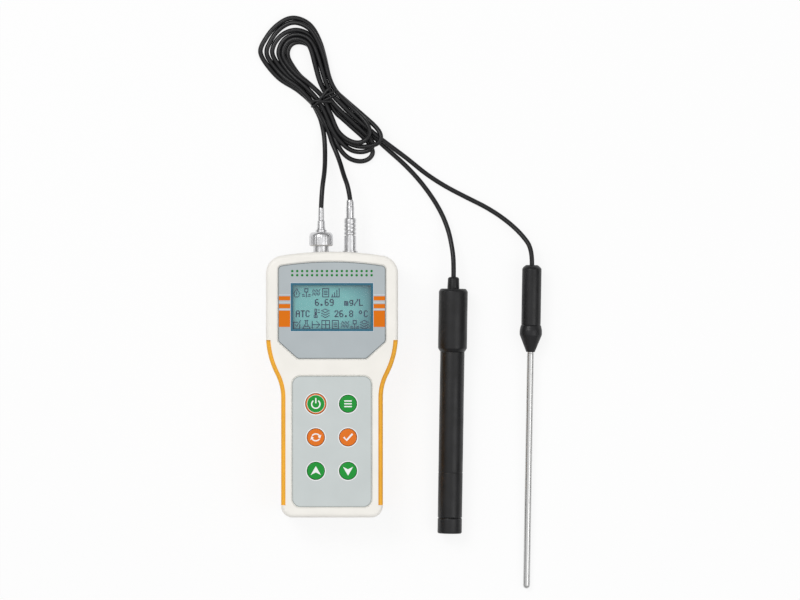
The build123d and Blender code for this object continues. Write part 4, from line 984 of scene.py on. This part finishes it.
class OBJECT_OT_probe_keys(bpy.types.Operator):
    """Build the six round keys with their signs and halo rings"""

    bl_idname = "object.probe_keys"
    bl_label = "Keys"

    def execute(self, context):
        for node, (colour, sign) in KEY_LOOKS.items():
            low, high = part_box(node)
            x, y = (low.x + high.x) / 2, (low.y + high.y) / 2
            radius = (high.x - low.x) / 2 - KEY_FLANGE
            rim = "key_orange" if sign == "power" else colour
            cap = self.cap("cap_" + node, x, y, radius, low.z, high.z, FINISHES[rim])
            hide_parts(node)
            carried(cap, node, rim)
            top = high.z
            if sign == "power":
                self.disc(node, x, y, radius * POWER_DISC, top)
                top += POWER_DISC_RISE
            mark = plate_piece(
                "sign_" + node, key_symbol(sign, x, y), top - 0.0001, top + 0.00005,
                FINISHES["white_ink"], 0.00002)
            carried(mark, node, "keypad_grey")
            self.halo(node, x, y, radius)
        return {"FINISHED"}

    def disc(self, node, x, y, radius, top):
        """Green disc on the power key, with a fine pale line round it."""
        disc = plate_piece(
            "disc_" + node, [circle(x, y, radius, 72)], top - 0.00005, top + POWER_DISC_RISE,
            FINISHES["key_green"], 0.00004)
        carried(disc, node, "key_green")
        edge = plate_piece(
            "edge_" + node, whole_ring(x, y, radius + POWER_EDGE, radius),
            top - 0.00002, top + POWER_DISC_RISE + 0.00002, FINISHES["white_ink"])
        carried(edge, node, "keypad_grey")

    def cap(self, name, x, y, radius, low, high, finish):
        """A softly domed disc, with a small notch low on each side."""
        height = high - low
        profile = [
            (0.0, 0.0), (radius - 0.0002, 0.0), (radius, 0.0002), (radius, height - 0.0006),
            (radius * 0.985, height - 0.0002), (radius * 0.93, height - 0.000072),
            (radius * 0.6, height), (0.0, height)]
        shaped = [profile[0]] + rounded(profile[1:-1], 0.0003) + [profile[-1]]

        def notched(angle, r, along):
            turn = math.degrees(angle) % 360
            near = min(abs(turn - notch) for notch in KEY_NOTCHES)
            return r * (1 - 0.022 * max(0.0, 1 - near / 9.0))

        stand = Matrix.Translation((x, y, low)) @ Matrix.Rotation(math.pi / 2, 4, "X")
        return lathe(name, shaped, finish, stand, 120, notched)

    def halo(self, node, x, y, radius):
        """Fine pale ring printed round a key's opening."""
        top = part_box("keypad_overlay")[1].z
        outer, inner = HALO
        ring = plate_piece(
            "halo_" + node, whole_ring(x, y, radius + outer, radius + inner),
            top - INK, top + INK, FINISHES["white_ink"])
        carried(ring, "root", "keypad_grey")


# ------------------------------------------------------------------ display panel
# Letters of seven rows with five dots each, as two hexadecimal digits for each row.
FONT = {
    "2": "0E11010204081F", "6": "0E10101E11110E", "8": "0E11110E11110E", "9": "0E11110F01010E",
    ".": "00000000000C0C", "m": "00001A15151515", "g": "000F11110F010E",
    "/": "01010204081010", "L": "1010101010101F", "C": "0E11101010110E", "A": "0E11111F111111",
    "T": "1F040404040404", "o": "0C12120C000000", " ": "00000000000000",
}
# Signs as strokes on a grid of eleven by eleven.
SIGNS = {
    "sheet": ((1, 0, 9, 0), (1, 10, 9, 10), (1, 0, 1, 10), (9, 0, 9, 10), (3, 3, 7, 3),
              (3, 5, 7, 5), (3, 7, 7, 7)),
    "bars": ((0, 0, 10, 0), (1, 0, 1, 3), (4, 0, 4, 5), (7, 0, 7, 8), (10, 0, 10, 10)),
    "wave": ((0, 2, 2, 5), (2, 5, 4, 2), (4, 2, 6, 5), (6, 5, 8, 2), (8, 2, 10, 5), (0, 6, 2, 9),
             (2, 9, 4, 6), (4, 6, 6, 9), (6, 9, 8, 6), (8, 6, 10, 9)),
    "drop": ((5, 10, 1, 4), (5, 10, 9, 4), (1, 4, 3, 0), (9, 4, 7, 0), (3, 0, 7, 0), (5, 3, 5, 6)),
    "flask": ((3, 10, 7, 10), (4, 10, 4, 6), (6, 10, 6, 6), (4, 6, 0, 0), (6, 6, 10, 0),
              (0, 0, 10, 0), (3, 3, 7, 3)),
    "table": ((0, 0, 10, 0), (0, 10, 10, 10), (0, 0, 0, 10), (10, 0, 10, 10), (5, 0, 5, 10),
              (0, 5, 10, 5)),
    "ticked": ((1, 0, 9, 0), (1, 0, 1, 8), (9, 0, 9, 5), (1, 8, 6, 8), (3, 5, 5, 3),
               (5, 3, 10, 10)),
    "onward": ((0, 5, 10, 5), (10, 5, 6, 9), (10, 5, 6, 1), (0, 1, 0, 9)),
    "heat": ((4, 3, 4, 10), (6, 3, 6, 10), (4, 10, 6, 10), (3, 2, 3, 0), (7, 2, 7, 0), (3, 0, 7, 0),
             (8, 9, 10, 9), (8, 6, 10, 6), (5, 1, 5, 6)),
    "probe": ((5, 0, 5, 6), (3, 6, 7, 6), (3, 6, 3, 10), (7, 6, 7, 10), (3, 10, 7, 10),
              (0, 1, 3, 1), (7, 1, 10, 1), (0, 3, 2, 3), (8, 3, 10, 3)),
    "stack": ((0, 2, 5, 0), (5, 0, 10, 2), (0, 5, 5, 3), (5, 3, 10, 5), (0, 8, 5, 6), (5, 6, 10, 8),
              (0, 8, 5, 10), (5, 10, 10, 8)),
}
# Left end and foot of each row in the window, then its signs and letters, in millimetres.
SIGN_ROWS = (
    (1.1, 20.5, ("drop", "probe", "wave", "sheet", "bars")),
    (12.6, 8.1, ("heat", "stack")),
    (1.1, 1.2, ("ticked", "flask", "onward", "table", "sheet", "wave", "probe", "stack")),
)
TEXT_ROWS = (
    (14.8, 15.4, "6.69  mg/L"), (3.2, 8.5, "ATC"), (26.6, 8.5, "26.8 oC"),
)
SIGN_PITCH = 5.85
LETTER_PITCH = 2.96
SIGN_SIZE = (5.1, 5.5)
LETTER_SIZE = (2.25, 4.1)
# Printed dots and bands of the panel, in millimetres.
DOT_ROWS, DOTS, DOT_PITCH, DOT_RADIUS = (68.7, 66.2), 17, 3.0, 0.75
BARS = ((51.0, 53.5), (46.2, 48.8), (34.9, 44.8))
LINES = ((54.2, 54.5), (49.7, 50.0), (45.4, 45.7))
# Widths round the window, in metres.
SHADE_BAND = 0.00125             # width of the painted shade band: a dark strip inside the window's edge, for the recess's shadow
WELL = 0.0013                # from the window's edge to the painted shade sheet under it
SHADE_SHEET = 0.00018              # thickness of that painted shade sheet
WINDOW_LINE = 0.00022        # pale line round the window
PANEL_RIM = 0.00042          # darker strip along a panel's edge


class OBJECT_OT_probe_display(bpy.types.Operator):
    """Build the printed display panel and what the display shows"""

    bl_idname = "object.probe_display"
    bl_label = "Display"

    def execute(self, context):
        low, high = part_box("display_overlay")
        window_low, window_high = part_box("display_window")
        surface = high.z
        self.dots(surface)
        for name, bands, finish, slot in (
                ("panel_stripes", BARS, "stripe", "key_orange"),
                ("panel_lines", LINES, "pale_ink", "panel_grey")):
            sides = ((low.x, window_low.x), (window_high.x, high.x))
            outlines = [
                [(outer, bottom * MM), (inner, bottom * MM), (inner, top * MM), (outer, top * MM)]
                for outer, inner in sides for bottom, top in bands
            ]
            self.printed(name, outlines, surface - INK, surface + INK, finish, slot)
        self.frames(window_low, window_high, surface)
        self.figures(window_low)
        for name, node, finish in (
                ("panel_rim", "display_overlay", "rim_dark"),
                ("keypad_rim", "keypad_overlay", "rim_pale")):
            carried(edge_strip(name, node, PANEL_RIM, FINISHES[finish]), "root", "panel_grey")
        return {"FINISHED"}

    def printed(self, name, outlines, low, high, finish, slot):
        """A printed piece, which stays with the case."""
        carried(plate_piece(name, outlines, low, high, FINISHES[finish]), "root", slot)

    def dots(self, surface):
        """Two rows of printed dots above the window."""
        middle = (DOTS - 1) // 2
        outlines = [
            circle((index - middle) * DOT_PITCH * MM, y * MM, DOT_RADIUS * MM, 24)
            for y in DOT_ROWS for index in range(DOTS)
        ]
        self.printed("panel_dots", outlines, surface - INK, surface + INK, "dot", "key_green")

    def frames(self, low, high, surface):
        """Painted shade of the window's recess, as a dark band on the window and a dark sheet down
        the well, and the pale line round the window.
        """
        # A dark band on top of the window and a dark sheet under it: painted shade of the recess.
        self.printed("painted_recess_shade", frame_strips(low, high, 0.0, SHADE_BAND),
                     high.z - 0.00002, high.z + 0.00003, "border", "lcd_teal")
        self.printed("painted_well_shade", frame_strips(low, high, -WELL, SHADE_SHEET),
                     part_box("lcd_glass")[1].z + 0.00001, low.z - 0.00001, "border", "lcd_teal")
        self.printed("window_line", frame_strips(low, high, WINDOW_LINE, WINDOW_LINE),
                     surface - INK, surface + 0.00005, "pale_ink", "panel_grey")

    def figures(self, low):
        """Dots of the display, just over its crystal."""
        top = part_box("lcd_glass")[1].z
        cells = []
        for left, foot, signs in SIGN_ROWS:
            for index, sign in enumerate(signs):
                cells += strokes(SIGNS[sign], left + index * SIGN_PITCH, foot)
        for left, foot, text in TEXT_ROWS:
            for index, letter in enumerate(text):
                cells += glyph(FONT[letter], left + index * LETTER_PITCH, foot)
        build = bmesh.new()
        for x, y, width, height in cells:
            outline = rectangle(low.x + x * MM, low.y + y * MM, width * MM, height * MM)
            prism(build, outline, top + 0.00001, top + 0.00004)
        carried(built_object("lcd_figures", build, FINISHES["segment"]), "root", "chip_black")


def frame_strips(low, high, grow, width):
    """Outlines of four strips along a box's sides, the box grown by a margin first."""
    x, y = (low.x + high.x) / 2, (low.y + high.y) / 2
    wide, tall = high.x - low.x + 2 * grow, high.y - low.y + 2 * grow
    return [rectangle(x, y + side * (tall - width) / 2, wide, width) for side in (-1, 1)] + [
        rectangle(x + side * (wide - width) / 2, y, width, tall - 2 * width) for side in (-1, 1)]


def edge_strip(name, node, width, finish):
    """A fine strip on top of a panel, all along its outer edge."""
    source = frame["nodes"][node].data
    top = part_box(node)[1].z
    build = bmesh.new()
    build.from_mesh(source)
    bmesh.ops.remove_doubles(build, verts=build.verts, dist=1e-6)
    flat = {face for face in build.faces
            if face.normal.z > 0.99 and face.calc_center_median().z > top - 2e-5}
    border = [edge for edge in build.edges if sum(face in flat for face in edge.link_faces) == 1]
    outline = max(
        edge_loops(border), key=lambda loop: max(p.x for p in loop) - min(p.x for p in loop))
    build.free()
    area = sum(a.x * b.y - b.x * a.y for a, b in zip(outline, outline[1:] + outline[:1]))
    if area < 0:
        outline.reverse()
    count = len(outline)
    inner = []
    for index, point in enumerate(outline):
        before = (point - outline[index - 1]).normalized()
        after = (outline[(index + 1) % count] - point).normalized()
        mitre = Vector((-before.y - after.y, before.x + after.x))
        mitre = mitre.normalized() / max(0.5, math.sqrt((1 + before.dot(after)) / 2))
        inner.append(point + mitre * width)
    strip = bmesh.new()
    lower, upper = top - 3e-5, top + 5e-5
    sides = ((outline, lower), (outline, upper), (inner, upper), (inner, lower))
    rings = [[strip.verts.new((p.x, p.y, z)) for p in ring] for ring, z in sides]
    bridge_all(strip, rings, count, True)
    return built_object(name, strip, finish)


def edge_loops(edges):
    """Chain edges into closed loops of flat points."""
    links = {}
    for edge in edges:
        one, two = edge.verts
        links.setdefault(one, []).append(two)
        links.setdefault(two, []).append(one)
    loops = []
    left = set(links)
    while left:
        start = min(left, key=lambda vert: vert.index)
        loop, before, here = [], None, start
        while here in left:
            left.discard(here)
            loop.append(here.co.to_2d())
            ahead = [vert for vert in links[here] if vert is not before and vert in left]
            before, here = here, ahead[0] if ahead else start
        loops.append(loop)
    return loops


def strokes(lines, x, y):
    """Lit dots of a sign drawn as strokes, as centre, width and height."""
    wide, tall = (size / 11 for size in SIGN_SIZE)
    lit = set()
    for x0, y0, x1, y1 in lines:
        steps = max(abs(x1 - x0), abs(y1 - y0), 1)
        for step in range(steps + 1):
            t = step / steps
            lit.add((round(x0 + (x1 - x0) * t), round(y0 + (y1 - y0) * t)))
    return [(x + (column + 0.5) * wide, y + (row + 0.5) * tall, wide * 1.12, tall * 1.12)
            for column, row in sorted(lit)]


def glyph(code, x, y):
    """Lit dots of a five by seven letter, as centre, width and height."""
    wide, tall = LETTER_SIZE[0] / 5, LETTER_SIZE[1] / 7
    cells = []
    for row in range(7):
        bits = int(code[row * 2:row * 2 + 2], 16)
        for column in range(5):
            if bits >> (4 - column) & 1:
                cells.append((x + (column + 0.5) * wide, y + (6.5 - row) * tall,
                              wide * 1.7, tall * 1.05))
    return cells


# ------------------------------------------------------------------ connectors
def turned_piece(name, body, slot, profile, finish, place, edge=0.3, shape=None, segments=96):
    """A turned piece from its (radius, along) profile in millimetres, corners eased."""
    points = [(r * MM, y * MM) for r, y in profile]
    shaped = rounded(points, edge * MM)
    piece = lathe(name, shaped, finish, place, segments, shape)
    carried(piece, body, slot)
    return piece


def fluted(count, depth, low, high):
    """Flutes cut lengthwise into a band between two places along the axis."""
    def shape(angle, radius, along):
        if not low * MM < along < high * MM:
            return radius
        wave = 0.5 + 0.5 * math.cos(angle * count)
        return radius - depth * MM * wave ** 2.2
    return shape


class OBJECT_OT_probe_connectors(bpy.types.Operator):
    """Build the bayonet connector and the push-pull connector"""

    bl_idname = "object.probe_connectors"
    bl_label = "Connectors"

    def execute(self, context):
        self.bayonet(FINISHES["plate"])
        self.push_pull(FINISHES["plate"])
        return {"FINISHED"}

    def bayonet(self, metal):
        """Coupling nut, and crimped sleeve with its tail."""
        place = connector_place("bnc_plug_body")
        nut = turned_piece(
            "bayonet_nut", "coupling_nut", "bright_nickel",
            [(5.05, 83.9), (6.3, 83.9), (6.95, 84.2), (7.25, 84.9), (7.25, 89.6), (7.0, 90.9),
             (6.3, 91.9), (5.6, 92.4), (4.0, 92.4), (4.0, 91.6), (5.05, 91.2), (5.05, 83.9)],
            metal, place, 0.35, fluted(28, 0.12, 84.9, 90.2), 224)
        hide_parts("bnc_coupling_nut")
        sleeve = turned_piece(
            "bayonet_crimp", "root", "bright_nickel",
            [(1.95, 93.8), (2.5, 93.8), (2.6, 94.2), (2.6, 95.0), (2.4, 95.4), (2.3, 99.0),
             (2.1, 99.4), (1.9, 99.6), (1.9, 100.4), (1.8, 106.6), (1.66, 107.2), (1.5, 107.2),
             (1.5, 93.8), (1.95, 93.8)],
            metal, place, 0.15)
        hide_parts("bnc_crimp_sleeve")

    def push_pull(self, metal):
        """Release sleeve with its grip rings, and the cable collet."""
        place = connector_place("temp_plug_body")
        low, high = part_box("temp_plug_sleeve")
        start, end = low.y / MM, high.y / MM
        inner = 2.75
        profile = [(inner, start), (3.45, start), (3.7, start + 0.3), (3.7, start + 1.3)]
        for ring in range(3):
            at = start + 1.9 + ring * 2.2
            profile += [(3.3, at), (3.3, at + 0.5), (3.7, at + 0.7), (3.7, at + 2.0)]
        profile += [(3.7, end - 0.9), (3.3, end), (inner, end), (inner, start)]
        sleeve = turned_piece("plug_sleeve", "release_sleeve", "bright_nickel", profile, metal,
                              place, 0.12, fluted(24, 0.02, start + 0.4, end - 1.0), 144)
        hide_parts("temp_plug_sleeve")
        low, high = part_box("temp_plug_collet")
        start, end = low.y / MM, high.y / MM
        collet = turned_piece(
            "plug_collet", "root", "bright_nickel",
            [(1.55, start), (2.5, start), (2.5, end - 4.4), (2.3, end - 4.0), (2.3, end - 1.0),
             (2.05, end), (1.55, end), (1.55, start)],
            metal, place, 0.15, slotted(end - 4.2, end), 96)
        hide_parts("temp_plug_collet")


def slotted(low, high):
    """Six narrow slots between the fingers of a collet."""
    def shape(angle, radius, along):
        if not low * MM <= along <= high * MM:
            return radius
        turn = abs((math.degrees(angle) + 30) % 60 - 30)
        return radius - (0.35 * MM if turn < 4.0 and radius > 1.7 * MM else 0.0)
    return shape


# ------------------------------------------------------------------ probes
class OBJECT_OT_probe_probes(bpy.types.Operator):
    """Build the oxygen probe and the temperature probe"""

    bl_idname = "object.probe_probes"
    bl_label = "Probes"

    def execute(self, context):
        self.oxygen(FINISHES["black"])
        self.temperature(FINISHES["black"])
        return {"FINISHED"}

    def oxygen(self, black):
        """Cap, tube, head and strain relief, from the tip up."""
        place = axis_place(PROBE_TIPS["oxygen_probe_tube"], probe_axis("oxygen_probe_tube"))
        cap = turned_piece(
            "membrane_cap", "membrane_cap", "black_plastic",
            [(3.2, 0.15), (5.6, 0.0), (6.8, 0.0), (7.4, 0.6), (7.4, 8.9), (7.15, 9.4), (5.4, 9.4),
             (5.4, 4.2), (3.2, 4.2), (3.2, 0.15)],
            black, place, 0.25, fluted(36, 0.09, 2.0, 8.2), 216)
        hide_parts("do_membrane_cap")
        tube = turned_piece(
            "probe_tube", "root", "black_plastic",
            [(5.0, 9.6), (7.1, 9.6), (7.4, 10.0), (7.4, 36.8), (7.28, 37.0), (7.28, 37.4),
             (7.4, 37.6), (7.4, 110.5), (5.0, 110.5), (5.0, 9.6)],
            black, place, 0.2)
        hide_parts("do_probe_tube")
        head = turned_piece(
            "probe_head", "root", "black_plastic",
            [(5.0, 110.4), (6.9, 110.4), (7.5, 110.7), (8.8, 112.8), (8.8, 147.4), (7.6, 149.0),
             (3.0, 149.0), (3.0, 146.0), (5.0, 146.0), (5.0, 110.4)],
            black, place, 0.5)
        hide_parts("do_probe_head")
        guard = turned_piece(
            "strain_relief", "root", "black_plastic",
            [(1.5, 148.6), (3.7, 148.6), (3.62, 151.0), (3.42, 155.1), (3.0, 155.8), (2.2, 156.2),
             (1.5, 156.2), (1.5, 148.6)],
            black, place, 0.2)
        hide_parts("do_strain_relief")

    def temperature(self, black):
        """Steel rod, cone, bulge and handle, from the tip up."""
        place = axis_place(PROBE_TIPS["temperature_rod"], probe_axis("temperature_rod"))
        radius = 2.1
        dome = [(0.0, 0.0)] + [
            (radius * math.sin(a), radius - radius * math.cos(a))
            for a in (0.25, 0.5, 0.8, 1.1, 1.4)]
        points = dome + [(radius, y) for y in (2.4, 12.0, 60.0, 100.0, 143.5)] + [
            (1.95, 143.7), (1.95, 146.0), (0.0, 146.0)]
        points = [(r * MM, y * MM) for r, y in points]
        rod = lathe("steel_rod", points, FINISHES["steel"], place, 72)
        carried(rod, "root", "stainless")
        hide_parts("temp_rod")
        collar = turned_piece(
            "rod_collar", "root", "black_plastic",
            [(1.9, 144.3), (2.5, 144.3), (2.9, 145.1), (4.6, 149.4), (6.3, 153.6), (6.8, 154.9),
             (6.8, 157.6), (6.1, 160.8), (1.9, 160.8), (1.9, 144.3)],
            black, place, 0.7)
        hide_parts("temp_collar")
        handle = turned_piece(
            "rod_handle", "root", "black_plastic",
            [(1.9, 160.6), (5.75, 160.6), (5.9, 161.4), (5.9, 195.0), (5.2, 196.0), (3.6, 197.3),
             (2.0, 197.3), (2.0, 194.0), (1.9, 160.6)],
            black, place, 0.4)
        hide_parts("temp_handle")


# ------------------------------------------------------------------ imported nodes
NODE_FINISHES = {
    "front_shell": "case", "back_shell": "case", "battery_door": "case", "grip_right": "grip",
    "grip_left": "grip", "case_seal": "seal", "case_screws": "silver",
    "display_overlay": "panel", "display_window": "clear", "lcd_glass": "lcd",
    "lcd_frame": "chip", "lcd_backlight": "insulator", "lcd_board": "board",
    "keypad_overlay": "keypad", "snap_domes": "silver", "keypad_circuit": "board",
    "keypad_ribbon": "ribbon", "main_board": "board", "board_parts": "chip",
    "board_screws": "silver", "batteries": "cell", "battery_contacts": "silver",
    "socket_bracket": "insulator", "bnc_jack": "plate", "socket_nuts": "plate",
    "bnc_insulators": "insulator", "bnc_contacts": "gold", "bnc_plug_body": "plate",
    "bnc_wave_washer": "plate", "temp_socket": "plate", "temp_contact_inserts": "chip",
    "temp_plug_body": "plate", "do_membrane": "membrane", "do_electrodes": "silver",
    "do_electrode_core": "insulator", "do_o_ring": "seal", "temp_sensor": "silver",
}
FINISHES = {}


class OBJECT_OT_probe_finishes(bpy.types.Operator):
    """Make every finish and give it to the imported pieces"""

    bl_idname = "object.probe_finishes"
    bl_label = "Finishes"

    def execute(self, context):
        FINISHES.update(all_finishes())
        for node, finish in NODE_FINISHES.items():
            paint(node, FINISHES[finish])
        return {"FINISHED"}


# ------------------------------------------------------------------ stage
SENSOR = 36.0                # width of the camera's sensor, in its own millimetres
FLOOR_DROP = 0.0004          # of the floor under the lowest piece
FLOOR_WHITE = 0.84           # share of plain white that the camera sees in the floor


class OBJECT_OT_probe_stage(bpy.types.Operator):
    """Build the camera, floor, world and lights"""

    bl_idname = "object.probe_stage"
    bl_label = "Camera, floor and light"

    def execute(self, context):
        settings = context.scene.probe_stage
        scene = context.scene
        camera_data = bpy.data.cameras.new("camera")
        camera_data.sensor_width = SENSOR
        camera_data.lens = SENSOR * settings.camera_height / settings.view_width
        camera_data.clip_end = 20.0
        camera = bpy.data.objects.new("camera", camera_data)
        camera.location = (*settings.view_centre, settings.camera_height)
        scene.collection.objects.link(camera)
        scene.camera = camera
        self.floor(settings)
        self.world(scene)
        self.lamps(scene)
        scene.view_settings.view_transform = "Standard"
        return {"FINISHED"}

    def floor(self, settings):
        """A pale sheet that reads as white to the camera and keeps the object's shadow."""
        mesh = bpy.data.meshes.new("floor")
        build = bmesh.new()
        bmesh.ops.create_grid(build, x_segments=8, y_segments=8, size=3.0)
        build.to_mesh(mesh)
        build.free()
        made = Finish("floor_paper", settings.floor_colour, 0.9)
        made.mottle(3.0, 0.004).worn(5.0, 0.02).grain(400.0, 0.00002)
        floor = finished_object("floor", mesh, made.material)
        floor.location = (*settings.view_centre, -FLOOR_DROP)
        seen_white(made, FLOOR_WHITE)

    def world(self, scene):
        """Even studio light, with a soft darker band that gives metal its contrast."""
        world = bpy.data.worlds.new("studio")
        world.use_nodes = True
        nodes, links = world.node_tree.nodes, world.node_tree.links
        place = nodes.new("ShaderNodeTexCoord")
        split = nodes.new("ShaderNodeSeparateXYZ")
        links.new(place.outputs["Generated"], split.inputs["Vector"])
        ramp = nodes.new("ShaderNodeValToRGB")
        greys = ((0.0, 0.10), (0.45, 0.42), (1.0, 1.0))
        colour_stops(ramp, [(at, (grey, grey, grey, 1.0)) for at, grey in greys])
        links.new(split.outputs["Z"], ramp.inputs["Fac"])
        back = nodes["Background"]
        links.new(ramp.outputs["Color"], back.inputs["Color"])
        back.inputs["Strength"].default_value = 0.95
        scene.world = world

    def lamps(self, scene):
        """A large soft lamp from the upper left and a weaker one from the right."""
        for name, place, size, energy in (
                ("key_lamp", (-0.7, 0.8, 1.5), 0.9, 9.4),
                ("fill_lamp", (1.0, -0.3, 1.2), 1.0, 3.8)):
            data = bpy.data.lights.new(name, "AREA")
            data.shape = "DISK"
            data.size = size
            data.energy = energy
            lamp = bpy.data.objects.new(name, data)
            lamp.location = place
            aim = Vector((0.04, 0.05, 0.0)) - Vector(place)
            lamp.rotation_euler = aim.to_track_quat("-Z", "Y").to_euler()
            scene.collection.objects.link(lamp)


def seen_white(made, share):
    """Let a surface read as white where the camera, a gloss or glass sees it directly."""
    path = made.node("ShaderNodeLightPath")
    glow = made.node("ShaderNodeEmission", Strength=1.0)
    mix = made.node("ShaderNodeMixShader")
    seen = path.outputs["Is Camera Ray"]
    for other in ("Is Glossy Ray", "Is Transmission Ray"):
        seen = made.combined("MAXIMUM", seen, path.outputs[other])
    made.links.new(made.combined("MULTIPLY", seen, share), mix.inputs["Fac"])
    made.links.new(made.shader.outputs["BSDF"], mix.inputs[1])
    made.links.new(glow.outputs["Emission"], mix.inputs[2])
    made.links.new(mix.outputs["Shader"], made.nodes["Material Output"].inputs["Surface"])


# ------------------------------------------------------------------ panel and run
OPERATORS = (
    OBJECT_OT_probe_stage,
    OBJECT_OT_probe_finishes,
    OBJECT_OT_probe_cables,
    OBJECT_OT_probe_tie,
    OBJECT_OT_probe_keys,
    OBJECT_OT_probe_display,
    OBJECT_OT_probe_connectors,
    OBJECT_OT_probe_probes,
)


class VIEW3D_PT_probe(bpy.types.Panel):
    """Lists the pieces and their settings"""

    bl_label = "Water quality probe"
    bl_idname = "VIEW3D_PT_probe"
    bl_space_type = "VIEW_3D"
    bl_region_type = "UI"
    bl_category = "Probe"

    def draw(self, context):
        for name in SETTINGS:
            group = getattr(context.scene, name)
            box = self.layout.box()
            for key in group.bl_rna.properties.keys():
                if key not in ("rna_type", "name"):
                    box.prop(group, key)
        for operator in OPERATORS:
            self.layout.operator(operator.bl_idname)


SETTINGS = {
    "probe_case": CaseSettings,
    "probe_display": DisplaySettings,
    "probe_cables": CableSettings,
    "probe_stage": StageSettings,
}


def register():
    """Register the settings, operators and panel."""
    for group in SETTINGS.values():
        bpy.utils.register_class(group)
    for operator in OPERATORS:
        bpy.utils.register_class(operator)
    bpy.utils.register_class(VIEW3D_PT_probe)
    for name, group in SETTINGS.items():
        setattr(bpy.types.Scene, name, PointerProperty(type=group))


def unregister():
    """Take them away again."""
    for name in SETTINGS:
        delattr(bpy.types.Scene, name)
    bpy.utils.unregister_class(VIEW3D_PT_probe)
    for operator in reversed(OPERATORS):
        bpy.utils.unregister_class(operator)
    for group in SETTINGS.values():
        bpy.utils.unregister_class(group)


def main():
    """Build everything."""
    register()
    for operator in OPERATORS:
        group, name = operator.bl_idname.split(".")
        getattr(getattr(bpy.ops, group), name)()


if __name__ == "__main__":
    main()
